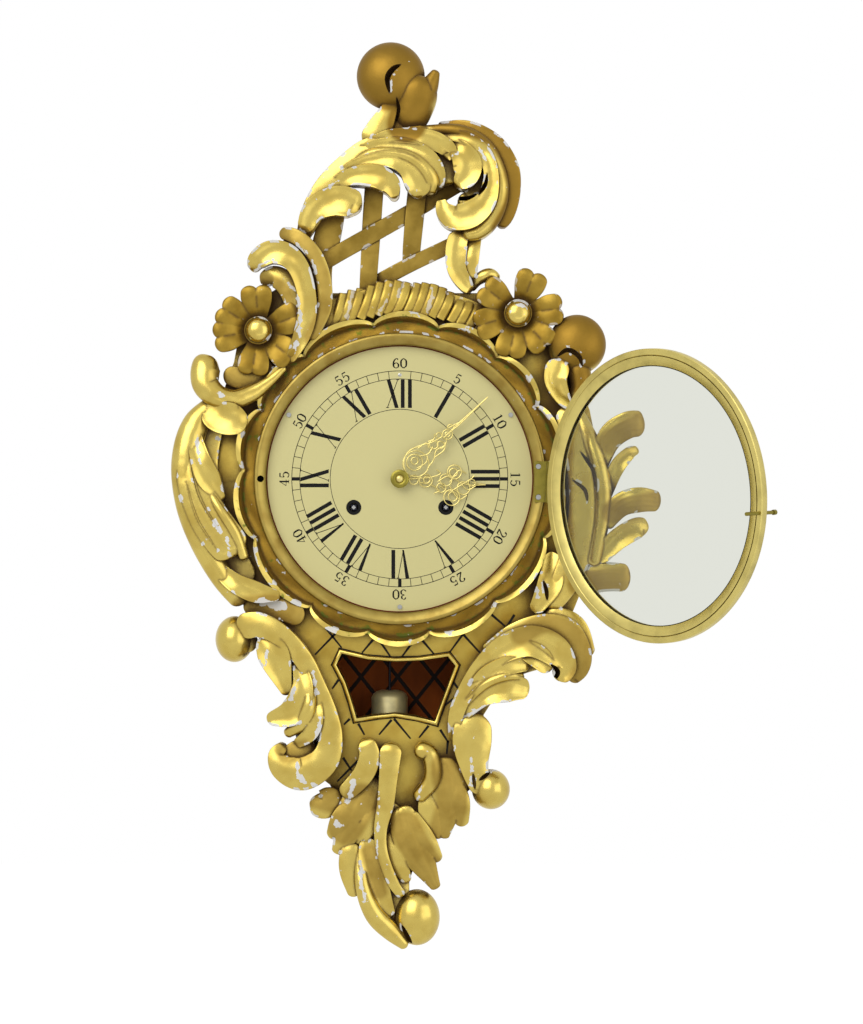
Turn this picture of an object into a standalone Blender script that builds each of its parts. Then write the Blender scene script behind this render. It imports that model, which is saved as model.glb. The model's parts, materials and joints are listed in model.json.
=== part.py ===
"""Giltwood wall clock: a carved rococo case, a hinged glass bezel and a two-train pendulum movement.

Metres, +Z up. The dial faces -Y, the wall is the plane y = 0, and the dial's axis runs through the origin.
A depth is a distance from the wall towards the viewer, so y = -depth.
"""

import math

import bmesh
import bpy
from mathutils import Matrix, Vector

MM = 0.001

# One unit of the drawing grid, on which the whole front is drawn; the point (400, 479) is the dial's centre
UNIT = 0.66 * MM
GRID_CENTRE = (400, 479)
RELIEF = 1.515 * UNIT  # one step of the carving's height

# Clearances
GAP = 0.3 * MM  # between pieces that are glued, screwed or seated together
CARVED_GAP = 0.45 * MM  # cut round a carved neighbour
RUNNING_GAP = 0.4 * MM  # round a turning arbor, and between the tips of two wheels
LATCH_GAP = 1.0 * MM  # round the latch pin in its catch
WELD = 0.002 * MM  # points nearer than this are one

# Case, from the wall forwards
COVER_T = 5.0 * MM
BOX_DEPTH = 56.0 * MM
BOX_WALL = 6.0 * MM
BOARD_T = 12.0 * MM
LATTICE_T = 1.5 * MM
LATTICE_H = 154.5 * UNIT
WINDOW_BEAD_W = 2.8 * MM
WINDOW_BEAD_H = 2.6 * MM

# Dial and its surround
DIAL_R = 133.2 * UNIT
DIAL_T = 1.5 * MM
DIAL_EDGE_GAP = 0.5 * MM
SEAT_W = 17.6 * UNIT
SEAT_H = 10.1 * MM
RIBBON_W = 16.0 * UNIT
RIBBON_H = 11.0 * MM
RIBBON_TWISTS = 14
RIBBON_STEPS_PER_TWIST = 5
RIBBON_SCALLOP = 0.14  # share of its width that the outer edge moves in and out
# Its section: share of the width, share of the height, and what leads and what lags the twist
RIBBON_SECTION = ((0, 0, 0, 0), (0, 0.62, 0.10, 0), (0.5, 0.82, 0, 0.18), (1, 0.5, -0.12, 0), (1, 0, 0, 0))
MOVEMENT_HOLE_R = 66.0 * MM
DIAL_PIN_INSET = 3.4 * MM
DIAL_PIN_R = 1.0 * MM
DIAL_PIN_HEAD_R = 1.6 * MM
DIAL_PIN_HEAD_H = 0.6 * MM
DIAL_PIN_REACH = 8.0 * MM
DIAL_PIN_ANGLES = (30, 150, 270)

# Door: a brass bezel with its glass
BEZEL_LAP = 5.4 * MM  # over the seat's inner edge
BEZEL_FACE_W = 10.8 * MM
BEZEL_DEPTH = 6.0 * MM
BEZEL_LIP_T = 1.2 * MM
BEZEL_WALL = 4.4 * MM
GLASS_T = 2.0 * MM
GLASS_LAP = 3.0 * MM
RETAINER_T = 1.5 * MM
DOOR_OPEN_DEG = 133.4
HINGE_AXIS = Vector((0.050, -0.047, 1.0)).normalized()
HINGE_OFFSET = 4.0 * MM  # from the bezel's edge to the hinge's axis
HINGE_DROP = 2.0 * MM
HINGE_BELOW_FRONT = 0.3 * MM
HINGE_H = 27.0 * MM
HINGE_PIN_R = 0.8 * MM
HINGE_KNUCKLE_R = 1.8 * MM
HINGE_LEAF_T = 1.6 * MM
HINGE_LEAF_W = 9.2 * MM
HINGE_SCREW_R = 1.7 * MM
HINGE_SCREW_HEAD_T = 0.7 * MM
HINGE_SCREW_SPREAD = 20.2 * MM
LATCH_R = 1.2 * MM
LATCH_BEHIND = 12.0 * MM
LATCH_AHEAD = 9.0 * MM
LATCH_HEAD_R = 1.7 * MM
LATCH_HEAD_H = 2.2 * MM

# Hands
HOUR_HAND_L = 0.656 * DIAL_R
MINUTE_HAND_L = 0.91 * DIAL_R
HAND_T = 0.8 * MM
HAND_HUB_R = 5.2 * MM
HAND_SPACING = 2.0 * MM
HAND_NUT_H = 2.2 * MM
# Outlines: share of the length, half width as a share of the hub's radius
HOUR_HAND_OUTLINE = ((0.0, 0.3), (0.22, 1.9), (0.5, 1.9), (0.72, 0.6), (0.78, 0.3), (1.0, 0.1))
MINUTE_HAND_OUTLINE = ((0.0, 0.3), (0.12, 1.3), (0.3, 1.5), (0.42, 0.3), (1.0, 0.1))
MINUTE_HAND_DEG = 47.1  # clockwise from twelve
HOUR_HAND_DEG = 93.9

# Movement
PLATE_T = 2.0 * MM
PLATE_HALF_W = 46.0 * MM
PLATE_TOP = 60.0 * MM
PLATE_BOTTOM = 46.0 * MM
PLATE_SPACE = 24.0 * MM
PILLAR_R = 3.0 * MM
PILLAR_INSET = 5.0 * MM
STRAP_W = 10.0 * MM
STRAP_T = 2.0 * MM
STRAP_END_GAP = 8.0 * MM
STRAP_INSET = 6.0 * MM
WHEEL_T = 1.5 * MM
TOOTH_DEPTH = 1.0 * MM
# Levels, in wheel thicknesses: the first two below the front plate, the others above the back plate
GREAT_LEVEL = 3
SECOND_LEVEL = 1
CENTRE_LEVEL = 6
THIRD_LEVEL = 4
ESCAPE_LEVEL = 2
ARBOR_R = 1.2 * MM
CENTRE_ARBOR_R = 1.8 * MM
HOUR_PIPE_WALL = 0.9 * MM
WINDING_X = 30.4 * MM
WINDING_DROP = 18.8 * MM
WINDING_ARBOR_R = 2.4 * MM
WINDING_SQUARE = 3.6 * MM
WINDING_HOLE_R = 3.7 * MM
BARREL_R = 16.0 * MM
BARREL_L = 13.0 * MM
GREAT_WHEEL_R = 21.0 * MM
SECOND_WHEEL_R = 16.0 * MM
SECOND_PINION_R = 4.2 * MM
CENTRE_WHEEL_R = 17.5 * MM
CENTRE_PINION_R = 4.4 * MM
THIRD_WHEEL_R = 13.0 * MM
THIRD_PINION_R = 3.2 * MM
ESCAPE_WHEEL_R = 12.0 * MM
ESCAPE_PINION_R = 3.0 * MM
CANNON_PINION_R = 3.8 * MM
MINUTE_WHEEL_R = 10.5 * MM
MINUTE_PINION_R = 3.2 * MM
MINUTE_STUD_DEG = 150.0
MOTION_WORK_LIFT = 3.0 * MM

# Teeth
GREAT_TEETH = 48
SECOND_PINION_TEETH = 8
SECOND_TEETH = 40
CENTRE_PINION_TEETH = 10
CENTRE_TEETH = 48
THIRD_PINION_TEETH = 6
THIRD_TEETH = 45
ESCAPE_PINION_TEETH = 6
ESCAPE_TEETH = 30
CANNON_TEETH = 12
MINUTE_TEETH = 36
MINUTE_PINION_TEETH = 10
HOUR_TEETH = 40

# Pendulum and escapement
PENDULUM_X = -7.3 * MM
PENDULUM_TOP = 46.0 * MM
PENDULUM_BEHIND = 9.0 * MM  # rod's axis behind the back plate
ROD_R = 0.9 * MM
ROD_ABOVE = 3.0 * MM
BOB_TOP = -215.0 * UNIT
BOB_H = 24.0 * MM
BOB_CLEARANCE = 2.9 * MM  # from the bob to the lattice board behind it
BOB_EDGE = 4.0 * MM
RATING_NUT_R = 3.2 * MM
RATING_NUT_H = 3.0 * MM
ESCAPE_DROP = 20.0 * MM
PALLET_REACH = 11.0 * MM
CRUTCH_L = 38.0 * MM
CRUTCH_W = 3.0 * MM
COCK_W = 12.0 * MM
COCK_H = 7.0 * MM

# Strike
GONG_BLOCK = 14.0 * MM
GONG_X = 31.0 * MM
GONG_BELOW_TOP = 8.5 * MM
GONG_ROD_R = 1.6 * MM
GONG_ROD_L = 118.0 * MM
GONG_ROD_SPACING = 8.0 * MM
HAMMER_Z = -40.0 * MM
HAMMER_ARM_L = 26.0 * MM
HAMMER_HUB_R = 3.6 * MM
HAMMER_ARM_W = 3.0 * MM
HAMMER_HEAD_R = 4.0 * MM
HAMMER_HEAD_L = 8.0 * MM
HAMMER_STUD_R = 1.4 * MM

# Hanger plate, let into the rear cover
HANGER_W = 52.0 * MM
HANGER_H = 24.0 * MM
HANGER_T = 2.0 * MM
HANGER_BELOW_TOP = 18.5 * MM
KEYHOLE_R = 5.0 * MM
KEYHOLE_SLOT_R = 2.4 * MM
KEYHOLE_RISE = 7.0 * MM

# Carving
VOXEL = 2.8 * UNIT
CREST_BACK = 62.0 * MM
TRELLIS_T = 9.0 * MM
BAND_H = 8.8 * MM
FLOWER_H = 9 * RELIEF
BOSS_R = 14 * UNIT
BOSS_H = 7 * RELIEF
ROUND_STEPS = 48
SMALL_STEPS = 12
CATCH_STEPS = 8

# Depths that follow
BOX_BACK = COVER_T + GAP
BOX_FRONT = BOX_BACK + BOX_DEPTH
BOARD_BACK = BOX_FRONT + GAP
BOARD_FRONT = BOARD_BACK + BOARD_T
GROUND = BOARD_FRONT + GAP
DIAL_FRONT = GROUND + DIAL_T
SEAT_FRONT = GROUND + SEAT_H
BEZEL_BACK = SEAT_FRONT + GAP
BEZEL_FRONT = BEZEL_BACK + BEZEL_DEPTH
STRAP_FRONT = BOARD_BACK - GAP
FRONT_PLATE_FRONT = STRAP_FRONT - STRAP_T - GAP
FRONT_PLATE_BACK = FRONT_PLATE_FRONT - PLATE_T
BACK_PLATE_FRONT = FRONT_PLATE_BACK - PLATE_SPACE
BACK_PLATE_BACK = BACK_PLATE_FRONT - PLATE_T
PENDULUM_DEPTH = BACK_PLATE_BACK - PENDULUM_BEHIND
BOB_R = PENDULUM_DEPTH - BOX_BACK - LATTICE_T - BOB_CLEARANCE

# Radii that follow
SEAT_INNER_R = DIAL_R + DIAL_EDGE_GAP
SEAT_OUTER_R = SEAT_INNER_R + SEAT_W
RIBBON_INNER_R = SEAT_OUTER_R + GAP
RIBBON_OUTER_R = RIBBON_INNER_R + RIBBON_W
DIAL_PIN_ORBIT = DIAL_R - DIAL_PIN_INSET
BEZEL_R = SEAT_INNER_R + BEZEL_LAP
BEZEL_APERTURE_R = BEZEL_R - BEZEL_FACE_W
LATCH_ORBIT = BEZEL_R - BEZEL_WALL / 2
HOUR_PIPE_BORE = CENTRE_ARBOR_R + RUNNING_GAP
HOUR_PIPE_R = HOUR_PIPE_BORE + HOUR_PIPE_WALL
MOTION_CENTRES = CANNON_PINION_R + MINUTE_WHEEL_R + RUNNING_GAP
HOUR_WHEEL_R = MOTION_CENTRES - MINUTE_PINION_R - RUNNING_GAP

# Outlines on the drawing grid
BOARD_OUTLINE = (
    (325, 293), (318, 262), (300, 258), (283, 285), (258, 300), (240, 330), (234, 362), (222, 395), (203, 420),
    (190, 450), (186, 490), (196, 540), (216, 580), (244, 606), (272, 634), (292, 660), (302, 700), (304, 765),
    (330, 785), (345, 815), (362, 850), (376, 885), (392, 897), (410, 880), (424, 838), (446, 812), (470, 790),
    (482, 755), (484, 715), (500, 690), (530, 665), (555, 645), (572, 615), (588, 575), (598, 530), (600, 490),
    (598, 450), (590, 410), (575, 375), (560, 345), (545, 325), (528, 305), (505, 293),
)
BOX_OUTLINE = (
    (285, 385), (315, 345), (485, 345), (515, 385), (515, 570), (476, 640), (476, 762), (316, 762), (316, 640),
    (285, 570),
)
WINDOW_OUTLINE = (
    (342, 654), (368, 660), (396, 662), (422, 661), (448, 657), (455, 666), (446, 690), (440, 706), (435, 721),
    (415, 716), (395, 713), (376, 715), (357, 718), (352, 700), (346, 682), (337, 665),
)
BAND_OUTLINE = (
    (331, 288), (352, 284), (374, 283), (412, 283), (446, 284), (474, 292), (490, 310), (500, 326), (480, 338),
    (440, 324), (400, 318), (360, 324), (334, 334), (322, 338), (330, 310),
)

# Triangles that each carving keeps before it is trimmed
CARVING_FACES = {
    "left_flower": 380, "right_flower": 380, "left_shoulder_scroll": 520, "left_hook_scroll": 340,
    "right_shoulder_bud": 300, "lower_left_scroll": 700, "lower_right_scroll": 720, "left_side_leaf": 660,
    "right_side_leaf": 820, "drop_leaf": 940, "crest_scroll": 1000,
}

# Fronds: (u, v, half width in grid units, height above the back in steps) along each spine
CREST_FRONDS = (
    ((312, 244, 9, 18), (314, 214, 15, 22), (342, 184, 17, 26), (376, 160, 19, 29), (420, 144, 20, 31),
     (462, 146, 20, 32), (494, 168, 20, 32), (500, 194, 18, 31), (484, 218, 17, 30), (460, 218, 13, 29),
     (446, 202, 8, 26)),
    ((330, 208, 15, 22), (345, 206, 15, 26), (360, 211, 7, 24)),
    ((340, 186, 10, 24), (370, 178, 11, 28), (392, 184, 10, 28), (398, 198, 5, 25)),
    ((372, 158, 12, 27), (406, 166, 14, 30), (424, 186, 16, 31), (420, 198, 9, 27)),
    ((430, 150, 14, 29), (454, 163, 19, 30), (466, 178, 16, 29), (456, 187, 8, 26)),
    ((505, 180, 12, 16), (508, 205, 11, 16), (497, 226, 6, 14)),
    ((466, 228, 14, 22), (464, 255, 14, 20), (468, 282, 12, 18), (472, 291, 8, 16)),
    ((474, 286, 8, 14), (488, 277, 8, 16), (500, 281, 4, 14)),
    ((386, 96, 8, 26), (384, 118, 10, 25), (374, 138, 14, 24), (362, 152, 14, 24)),
    ((408, 124, 14, 26), (416, 104, 20, 30), (420, 86, 18, 30), (434, 72, 6, 26)),
)
CREST_BALLS = ((391, 77, 35, 16, 17),)
TRELLIS_BARS = (
    ((375, 185, 9), (368, 292, 8)), ((318, 266, 8), (444, 190, 8)), ((418, 195, 9), (411, 272, 8)),
    ((364, 287, 7), (462, 239, 7)), ((322, 236, 10), (324, 291, 8)),
)
LEFT_SHOULDER_FRONDS = (
    ((256, 272, 7, 15), (262, 257, 12, 19), (282, 255, 13, 20), (300, 266, 11, 20), (309, 292, 10, 19),
     (309, 320, 10, 17), (300, 345, 9, 14), (286, 366, 5, 11)),
    ((282, 238, 5, 11), (302, 246, 8, 13), (318, 264, 8, 13), (324, 292, 8, 13), (320, 318, 7, 12),
     (308, 338, 5, 11)),
    ((262, 284, 6, 8), (280, 284, 13, 9), (292, 304, 14, 9), (290, 335, 12, 9), (282, 362, 7, 8)),
)
LEFT_HOOK_FRONDS = (
    ((216, 364, 11, 14), (205, 372, 15, 17), (208, 389, 13, 18), (226, 400, 9, 17), (250, 396, 9, 16),
     (272, 382, 7, 13), (286, 368, 4, 10)),
    ((222, 376, 7, 8), (248, 380, 9, 8), (274, 368, 8, 8)),
)
RIGHT_BUD_FRONDS = (
    ((562, 362, 10, 14), (552, 376, 10, 16), (558, 392, 9, 15), (568, 406, 6, 12)),
    ((574, 362, 10, 15), (578, 384, 9, 13), (572, 402, 6, 11)),
)
RIGHT_BUD_BALLS = ((577, 346, 31, 4, 13),)
LEFT_LEAF_FRONDS = (
    ((214, 404, 10, 14), (197, 432, 12, 17), (188, 466, 12, 18), (191, 505, 13, 18), (206, 546, 14, 17),
     (229, 581, 14, 15), (252, 605, 10, 12), (282, 612, 12, 9), (304, 618, 8, 8)),
    ((196, 420, 12, 16), (222, 424, 15, 18), (246, 420, 10, 15)),
    ((192, 446, 10, 16), (206, 476, 13, 18), (222, 500, 7, 15)),
    ((194, 506, 12, 17), (220, 526, 15, 18), (238, 546, 11, 17), (248, 562, 6, 14)),
    ((214, 566, 12, 14), (244, 582, 10, 15), (276, 594, 5, 12)),
)
RIGHT_LEAF_FRONDS = (
    ((562, 408, 8, 10), (578, 444, 13, 13), (586, 490, 15, 14), (582, 535, 15, 14), (568, 575, 14, 13),
     (548, 608, 10, 11)),
    ((576, 410, 7, 12), (592, 446, 9, 15), (603, 486, 9, 16), (602, 526, 8, 15), (592, 568, 8, 13)),
    ((594, 462, 8, 13), (606, 438, 11, 16), (624, 426, 13, 17), (643, 423, 12, 15)),
    ((606, 494, 6, 13), (617, 468, 7, 15), (637, 451, 4, 13)),
    ((602, 528, 8, 14), (618, 510, 10, 17), (640, 500, 12, 18), (659, 501, 9, 15)),
    ((598, 556, 8, 13), (618, 540, 10, 15), (646, 527, 8, 13)),
    ((578, 582, 12, 11), (604, 576, 14, 13), (630, 578, 13, 12)),
    ((548, 566, 8, 11), (540, 592, 12, 12), (530, 612, 7, 10)),
)
LOWER_LEFT_FRONDS = (
    ((250, 624, 13, 20), (274, 634, 15, 21), (300, 658, 15, 21), (322, 694, 15, 20), (330, 730, 13, 19),
     (324, 760, 15, 19), (302, 773, 16, 20), (284, 762, 14, 19), (284, 750, 11, 16), (300, 744, 10, 14)),
    ((268, 642, 10, 18), (276, 662, 13, 19), (289, 682, 6, 15)),
    ((306, 682, 13, 18), (292, 703, 17, 18), (270, 708, 10, 14)),
    ((318, 700, 9, 17), (312, 722, 10, 17), (298, 731, 5, 13)),
)
LOWER_LEFT_BALLS = ((234, 639, 24, 5, 15),)
LOWER_RIGHT_FRONDS = (
    ((456, 738, 8, 15), (460, 708, 10, 18), (476, 676, 14, 20), (504, 650, 16, 21), (538, 640, 17, 22),
     (566, 650, 16, 22), (572, 672, 12, 21), (556, 680, 7, 18)),
    ((546, 616, 8, 10), (574, 628, 10, 12), (590, 656, 5, 10)),
    ((500, 664, 10, 18), (524, 668, 14, 18), (548, 674, 9, 15)),
    ((482, 690, 15, 18), (506, 690, 15, 18), (522, 692, 9, 14)),
    ((472, 712, 20, 17), (473, 745, 22, 17), (474, 775, 16, 16), (480, 792, 13, 16)),
)
LOWER_RIGHT_BALLS = ((490, 788, 21, 4, 14),)
DROP_FRONDS = (
    ((390, 742, 11, 17), (390, 780, 9, 17), (383, 815, 7, 16), (379, 842, 6, 15), (388, 874, 6, 14),
     (401, 894, 5, 13)),
    ((364, 744, 11, 15), (366, 772, 10, 14), (346, 796, 10, 13)),
    ((354, 776, 22, 9), (350, 812, 26, 10), (338, 838, 12, 8)),
    ((326, 790, 20, 7), (318, 808, 12, 7)),
    ((408, 752, 9, 13), (426, 752, 9, 15), (430, 778, 8, 15), (414, 799, 7, 13)),
    ((446, 762, 18, 9), (454, 796, 19, 10), (442, 828, 10, 8)),
    ((408, 806, 17, 10), (418, 840, 20, 12), (434, 874, 10, 9)),
    ((354, 846, 11, 9), (352, 874, 10, 9), (356, 894, 6, 8)),
    ((372, 846, 10, 12), (376, 880, 13, 13), (390, 908, 8, 12)),
    ((364, 858, 8, 13), (368, 896, 11, 14), (384, 926, 12, 14), (407, 944, 6, 12)),
)
DROP_BALLS = ((415, 917, 28, 3, 13),)
FLOWER_PETALS = {
    "left_flower": ((259, 331), 30, 16, (93, 148, 190, 262, 320, 20)),
    "right_flower": ((518, 314), 28, 17, (68, 142, 198, 258, 311, 6)),
}

# Share of the crown's height left at the two edges and the shoulders of a frond's section
FROND_SECTION = ((-1.0, 0.5), (-0.62, 0.88), (0.0, 1.0), (0.62, 0.88), (1.0, 0.5))
FROND_BACK_WIDTH = 0.86
FROND_SINK = 3.0 * MM  # how far the carving runs behind its back before it is planed flat
STATIONS_PER_SPAN = 4

# Turns a shape built along the depth upright, its depth running downwards
UPRIGHT = Matrix.Rotation(math.radians(90), 4, "X")

COLOURS = {
    "gilt": ((0.60, 0.44, 0.10), 0.28, 1.0),
    "matt_gilt": ((0.40, 0.28, 0.08), 0.5, 0.8),
    "wood": ((0.16, 0.07, 0.02), 0.7, 0.0),
    "brass": ((0.50, 0.42, 0.14), 0.3, 1.0),
    "steel": ((0.55, 0.55, 0.55), 0.3, 1.0),
    "enamel": ((0.65, 0.59, 0.28), 0.35, 0.0),
    "glass": ((0.75, 0.78, 0.75), 0.05, 0.0),
}


def material(finish):
    """The finish's material, made once."""
    found = bpy.data.materials.get(finish)
    if found:
        return found
    colour, roughness, metallic = COLOURS[finish]
    made = bpy.data.materials.new(finish)
    made.use_nodes = True
    shader = made.node_tree.nodes["Principled BSDF"]
    shader.inputs["Base Color"].default_value = (*colour, 1.0)
    shader.inputs["Roughness"].default_value = roughness
    shader.inputs["Metallic"].default_value = metallic
    return made


def clear_scene():
    for obj in list(bpy.data.objects):
        bpy.data.objects.remove(obj)


def piece(name, shape, finish):
    """A named object from a closed bmesh, with its faces turned outwards."""
    bmesh.ops.recalc_face_normals(shape, faces=shape.faces[:])
    mesh = bpy.data.meshes.new(name)
    shape.to_mesh(mesh)
    shape.free()
    mesh.materials.append(material(finish))
    obj = bpy.data.objects.new(name, mesh)
    bpy.context.scene.collection.objects.link(obj)
    return obj


def cutter(shape):
    """A hidden object to cut with or to join on."""
    obj = piece("cutter", shape, "wood")
    obj.hide_render = True
    obj.display_type = "WIRE"
    return obj


def settle(obj):
    """Applies the object's modifiers and keeps its largest body, so that no loose sliver stays."""
    bpy.context.view_layer.update()
    graph = bpy.context.evaluated_depsgraph_get()
    obj.data = bpy.data.meshes.new_from_object(obj.evaluated_get(graph))
    obj.modifiers.clear()
    shape = bmesh.new()
    shape.from_mesh(obj.data)
    bodies = []
    left = set(shape.verts)
    while left:
        body = set()
        edge = {left.pop()}
        while edge:
            body |= edge
            edge = {e.other_vert(v) for v in edge for e in v.link_edges} - body
        left -= body
        bodies.append(body)
    bodies.sort(key=len)
    loose = [v for body in bodies[:-1] for v in body]
    bmesh.ops.delete(shape, geom=loose, context="VERTS")
    bmesh.ops.remove_doubles(shape, verts=shape.verts[:], dist=WELD)
    bmesh.ops.dissolve_degenerate(shape, edges=shape.edges[:], dist=WELD)
    shape.to_mesh(obj.data)
    shape.free()


def is_closed(obj):
    """Whether every edge has two faces once points nearer than the weld are one."""
    shape = bmesh.new()
    shape.from_mesh(obj.data)
    bmesh.ops.remove_doubles(shape, verts=shape.verts[:], dist=WELD)
    closed = all(edge.is_manifold for edge in shape.edges)
    shape.free()
    return closed


def combine(obj, operation, shapes):
    """Cuts shapes from an object, or joins them to it; the second solver is for what the first leaves open."""
    tools = [cutter(shape) for shape in shapes]
    for tool in tools:
        uncut = obj.data
        for solver in ("EXACT", "MANIFOLD"):
            obj.data = uncut.copy()
            change = obj.modifiers.new(operation.lower(), "BOOLEAN")
            change.operation = operation
            change.solver = solver
            change.use_self = solver == "EXACT"
            change.object = tool
            settle(obj)
            if is_closed(obj):
                break
        bpy.data.objects.remove(tool)
    return obj


def cut(obj, *shapes):
    return combine(obj, "DIFFERENCE", shapes)


def fused(name, finish, first, *others):
    return combine(piece(name, first, finish), "UNION", others)


def pivoted(obj, x, z):
    """Puts a turning piece's origin on its axis, which runs along Y."""
    obj.data.transform(Matrix.Translation((-x, 0, -z)))
    obj.location = (x, 0, z)
    return obj


def smooth_shaded(obj, angle=math.radians(35)):
    obj.data.shade_smooth()
    obj.data.set_sharp_from_angle(angle=angle)
    return obj


def grid(u, v):
    """A point of the drawing grid as x and z."""
    return ((u - GRID_CENTRE[0]) * UNIT, (GRID_CENTRE[1] - v) * UNIT)


def drawn(points):
    return [grid(u, v) for u, v in points]


def ring_of(radius, steps, x=0.0, z=0.0, turn=0.0):
    """The corners of a regular polygon."""
    angles = [turn + 2 * math.pi * i / steps for i in range(steps)]
    return [(x + radius * math.cos(a), z + radius * math.sin(a)) for a in angles]


def rectangle(x, z, width, height):
    return [(x - width / 2, z - height / 2), (x + width / 2, z - height / 2),
            (x + width / 2, z + height / 2), (x - width / 2, z + height / 2)]


def offset(outline, distance):
    """The outline moved outwards by a distance, corner by corner."""
    area = sum(a[0] * b[1] - b[0] * a[1] for a, b in zip(outline, outline[1:] + outline[:1]))
    side = 1 if area > 0 else -1
    moved = []
    for i, point in enumerate(outline):
        here = Vector(point)
        before = (here - Vector(outline[i - 1])).normalized()
        after = (Vector(outline[(i + 1) % len(outline)]) - here).normalized()
        mitre = Vector((before.y + after.y, -before.x - after.x)) * side
        mitre = mitre.normalized() / max(0.4, math.sqrt((1 + before.dot(after)) / 2))
        moved.append(tuple(here + mitre * distance))
    return moved


def prism(outline, back, front):
    """A solid of this outline between two depths."""
    shape = bmesh.new()
    near = [shape.verts.new((x, -front, z)) for x, z in outline]
    far = [shape.verts.new((x, -back, z)) for x, z in outline]
    shape.faces.new(near)
    shape.faces.new(list(reversed(far)))
    for i in range(len(near)):
        shape.faces.new((near[i - 1], near[i], far[i], far[i - 1]))
    return shape


def rod(radius, back, front, x=0.0, z=0.0, steps=SMALL_STEPS):
    return prism(ring_of(radius, steps, x, z), back, front)


def frame(inner, outer, back, front):
    """A solid between two outlines with as many corners each."""
    shape = bmesh.new()
    loops = []
    for outline, depth in ((inner, back), (outer, back), (outer, front), (inner, front)):
        loops.append([shape.verts.new((x, -depth, z)) for x, z in outline])
    for a, b in zip(loops, loops[1:] + loops[:1]):
        for i in range(len(a)):
            shape.faces.new((a[i - 1], a[i], b[i], b[i - 1]))
    return shape


def turned(profile, steps, closed=False):
    """A profile of (radius, depth) points spun about the dial's axis."""
    shape = bmesh.new()
    points = [shape.verts.new((radius, -depth, 0)) for radius, depth in profile]
    pairs = list(zip(points, points[1:]))
    if closed:
        pairs.append((points[-1], points[0]))
    edges = [shape.edges.new(pair) for pair in pairs]
    bmesh.ops.spin(shape, geom=points + edges, cent=(0, 0, 0), axis=(0, 1, 0), angle=2 * math.pi,
                   steps=steps, use_merge=True)
    bmesh.ops.remove_doubles(shape, verts=shape.verts[:], dist=WELD)
    return shape


def moved(shape, matrix):
    bmesh.ops.transform(shape, matrix=matrix, verts=shape.verts[:])
    return shape


def toothed(teeth, tip, back, front, x=0.0, z=0.0):
    """A wheel blank with pointed teeth."""
    outline = []
    for i in range(2 * teeth):
        angle = math.pi * i / teeth
        radius = tip - (i % 2) * TOOTH_DEPTH
        outline.append((x + radius * math.cos(angle), z + radius * math.sin(angle)))
    return prism(outline, back, front)


def meeting_point(a, reach_a, b, reach_b, side):
    """The centre that lies at two given distances from two other centres."""
    a, b = Vector(a), Vector(b)
    apart = (b - a).length
    along = (reach_a ** 2 - reach_b ** 2 + apart ** 2) / (2 * apart)
    across = math.sqrt(reach_a ** 2 - along ** 2)
    ahead = (b - a) / apart
    return tuple(a + ahead * along + Vector((-ahead.y, ahead.x)) * across * side)


def smoothed(route):
    """Stations along a smooth curve through the route's points."""
    rows = [Vector(row) for row in route]
    ends = [rows[0] * 2 - rows[1]] + rows + [rows[-1] * 2 - rows[-2]]
    stations = []
    for a, b, c, d in zip(ends, ends[1:], ends[2:], ends[3:]):
        for step in range(STATIONS_PER_SPAN):
            t = step / STATIONS_PER_SPAN
            stations.append(0.5 * (2 * b + (c - a) * t + (2 * a - 5 * b + 4 * c - d) * t ** 2
                                   + (3 * b - a - 3 * c + d) * t ** 3))
    return stations + [rows[-1]]


def add_frond(shape, route, back):
    """Adds one crowned, tapering strip to a carving."""
    stations = smoothed(route)
    rings = []
    for i, (u, v, half_width, height) in enumerate(stations):
        ahead = stations[min(i + 1, len(stations) - 1)] - stations[max(i - 1, 0)]
        across = Vector((ahead[1], ahead[0])).normalized() * half_width * UNIT
        x, z = grid(u, v)
        corners = [(x + across.x * s, -back - height * RELIEF * share, z + across.y * s)
                   for s, share in FROND_SECTION]
        for s in (FROND_BACK_WIDTH, -FROND_BACK_WIDTH):
            corners.append((x + across.x * s, -back + FROND_SINK, z + across.y * s))
        rings.append([shape.verts.new(corner) for corner in corners])
    shape.faces.new(rings[0])
    shape.faces.new(list(reversed(rings[-1])))
    for a, b in zip(rings, rings[1:]):
        for i in range(len(a)):
            shape.faces.new((a[i - 1], b[i - 1], b[i], a[i]))


def add_ball(shape, u, v, radius, centre_height, half_depth, back):
    """Adds a rounded scroll end: an ellipsoid with its centre a height above the back."""
    x, z = grid(u, v)
    scale = Matrix.Diagonal((radius * UNIT, half_depth * RELIEF, radius * UNIT, 1))
    place = Matrix.Translation((x, -back - centre_height * RELIEF, z))
    bmesh.ops.create_icosphere(shape, subdivisions=2, radius=1, matrix=place @ scale)


def carved(name, back, fronds=(), balls=(), finish="gilt"):
    """A carving of joined fronds and balls, thinned to its number of faces and planed flat at its back."""
    shape = bmesh.new()
    for route in fronds:
        add_frond(shape, route, 0)
    for ball in balls:
        add_ball(shape, *ball, 0)
    obj = piece(name, shape, finish)
    skin = obj.modifiers.new("skin", "REMESH")
    skin.mode = "VOXEL"
    skin.voxel_size = VOXEL
    settle(obj)
    thin = obj.modifiers.new("thin", "DECIMATE")
    thin.ratio = min(1.0, CARVING_FACES[name] / (2 * len(obj.data.polygons)))
    settle(obj)
    room = 4 * BEZEL_R
    cut(obj, prism(rectangle(0, 0, 2 * room, 2 * room), -BOARD_FRONT, 0))
    obj.data.transform(Matrix.Translation((0, -back, 0)))
    return smooth_shaded(obj)


def swollen(obj, by=CARVED_GAP):
    """The object's shape grown outwards, as a cutter for its neighbour."""
    shape = bmesh.new()
    shape.from_mesh(obj.data)
    shape.normal_update()
    for vert, push in [(v, v.normal * by) for v in shape.verts]:
        vert.co += push
    return shape


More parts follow.
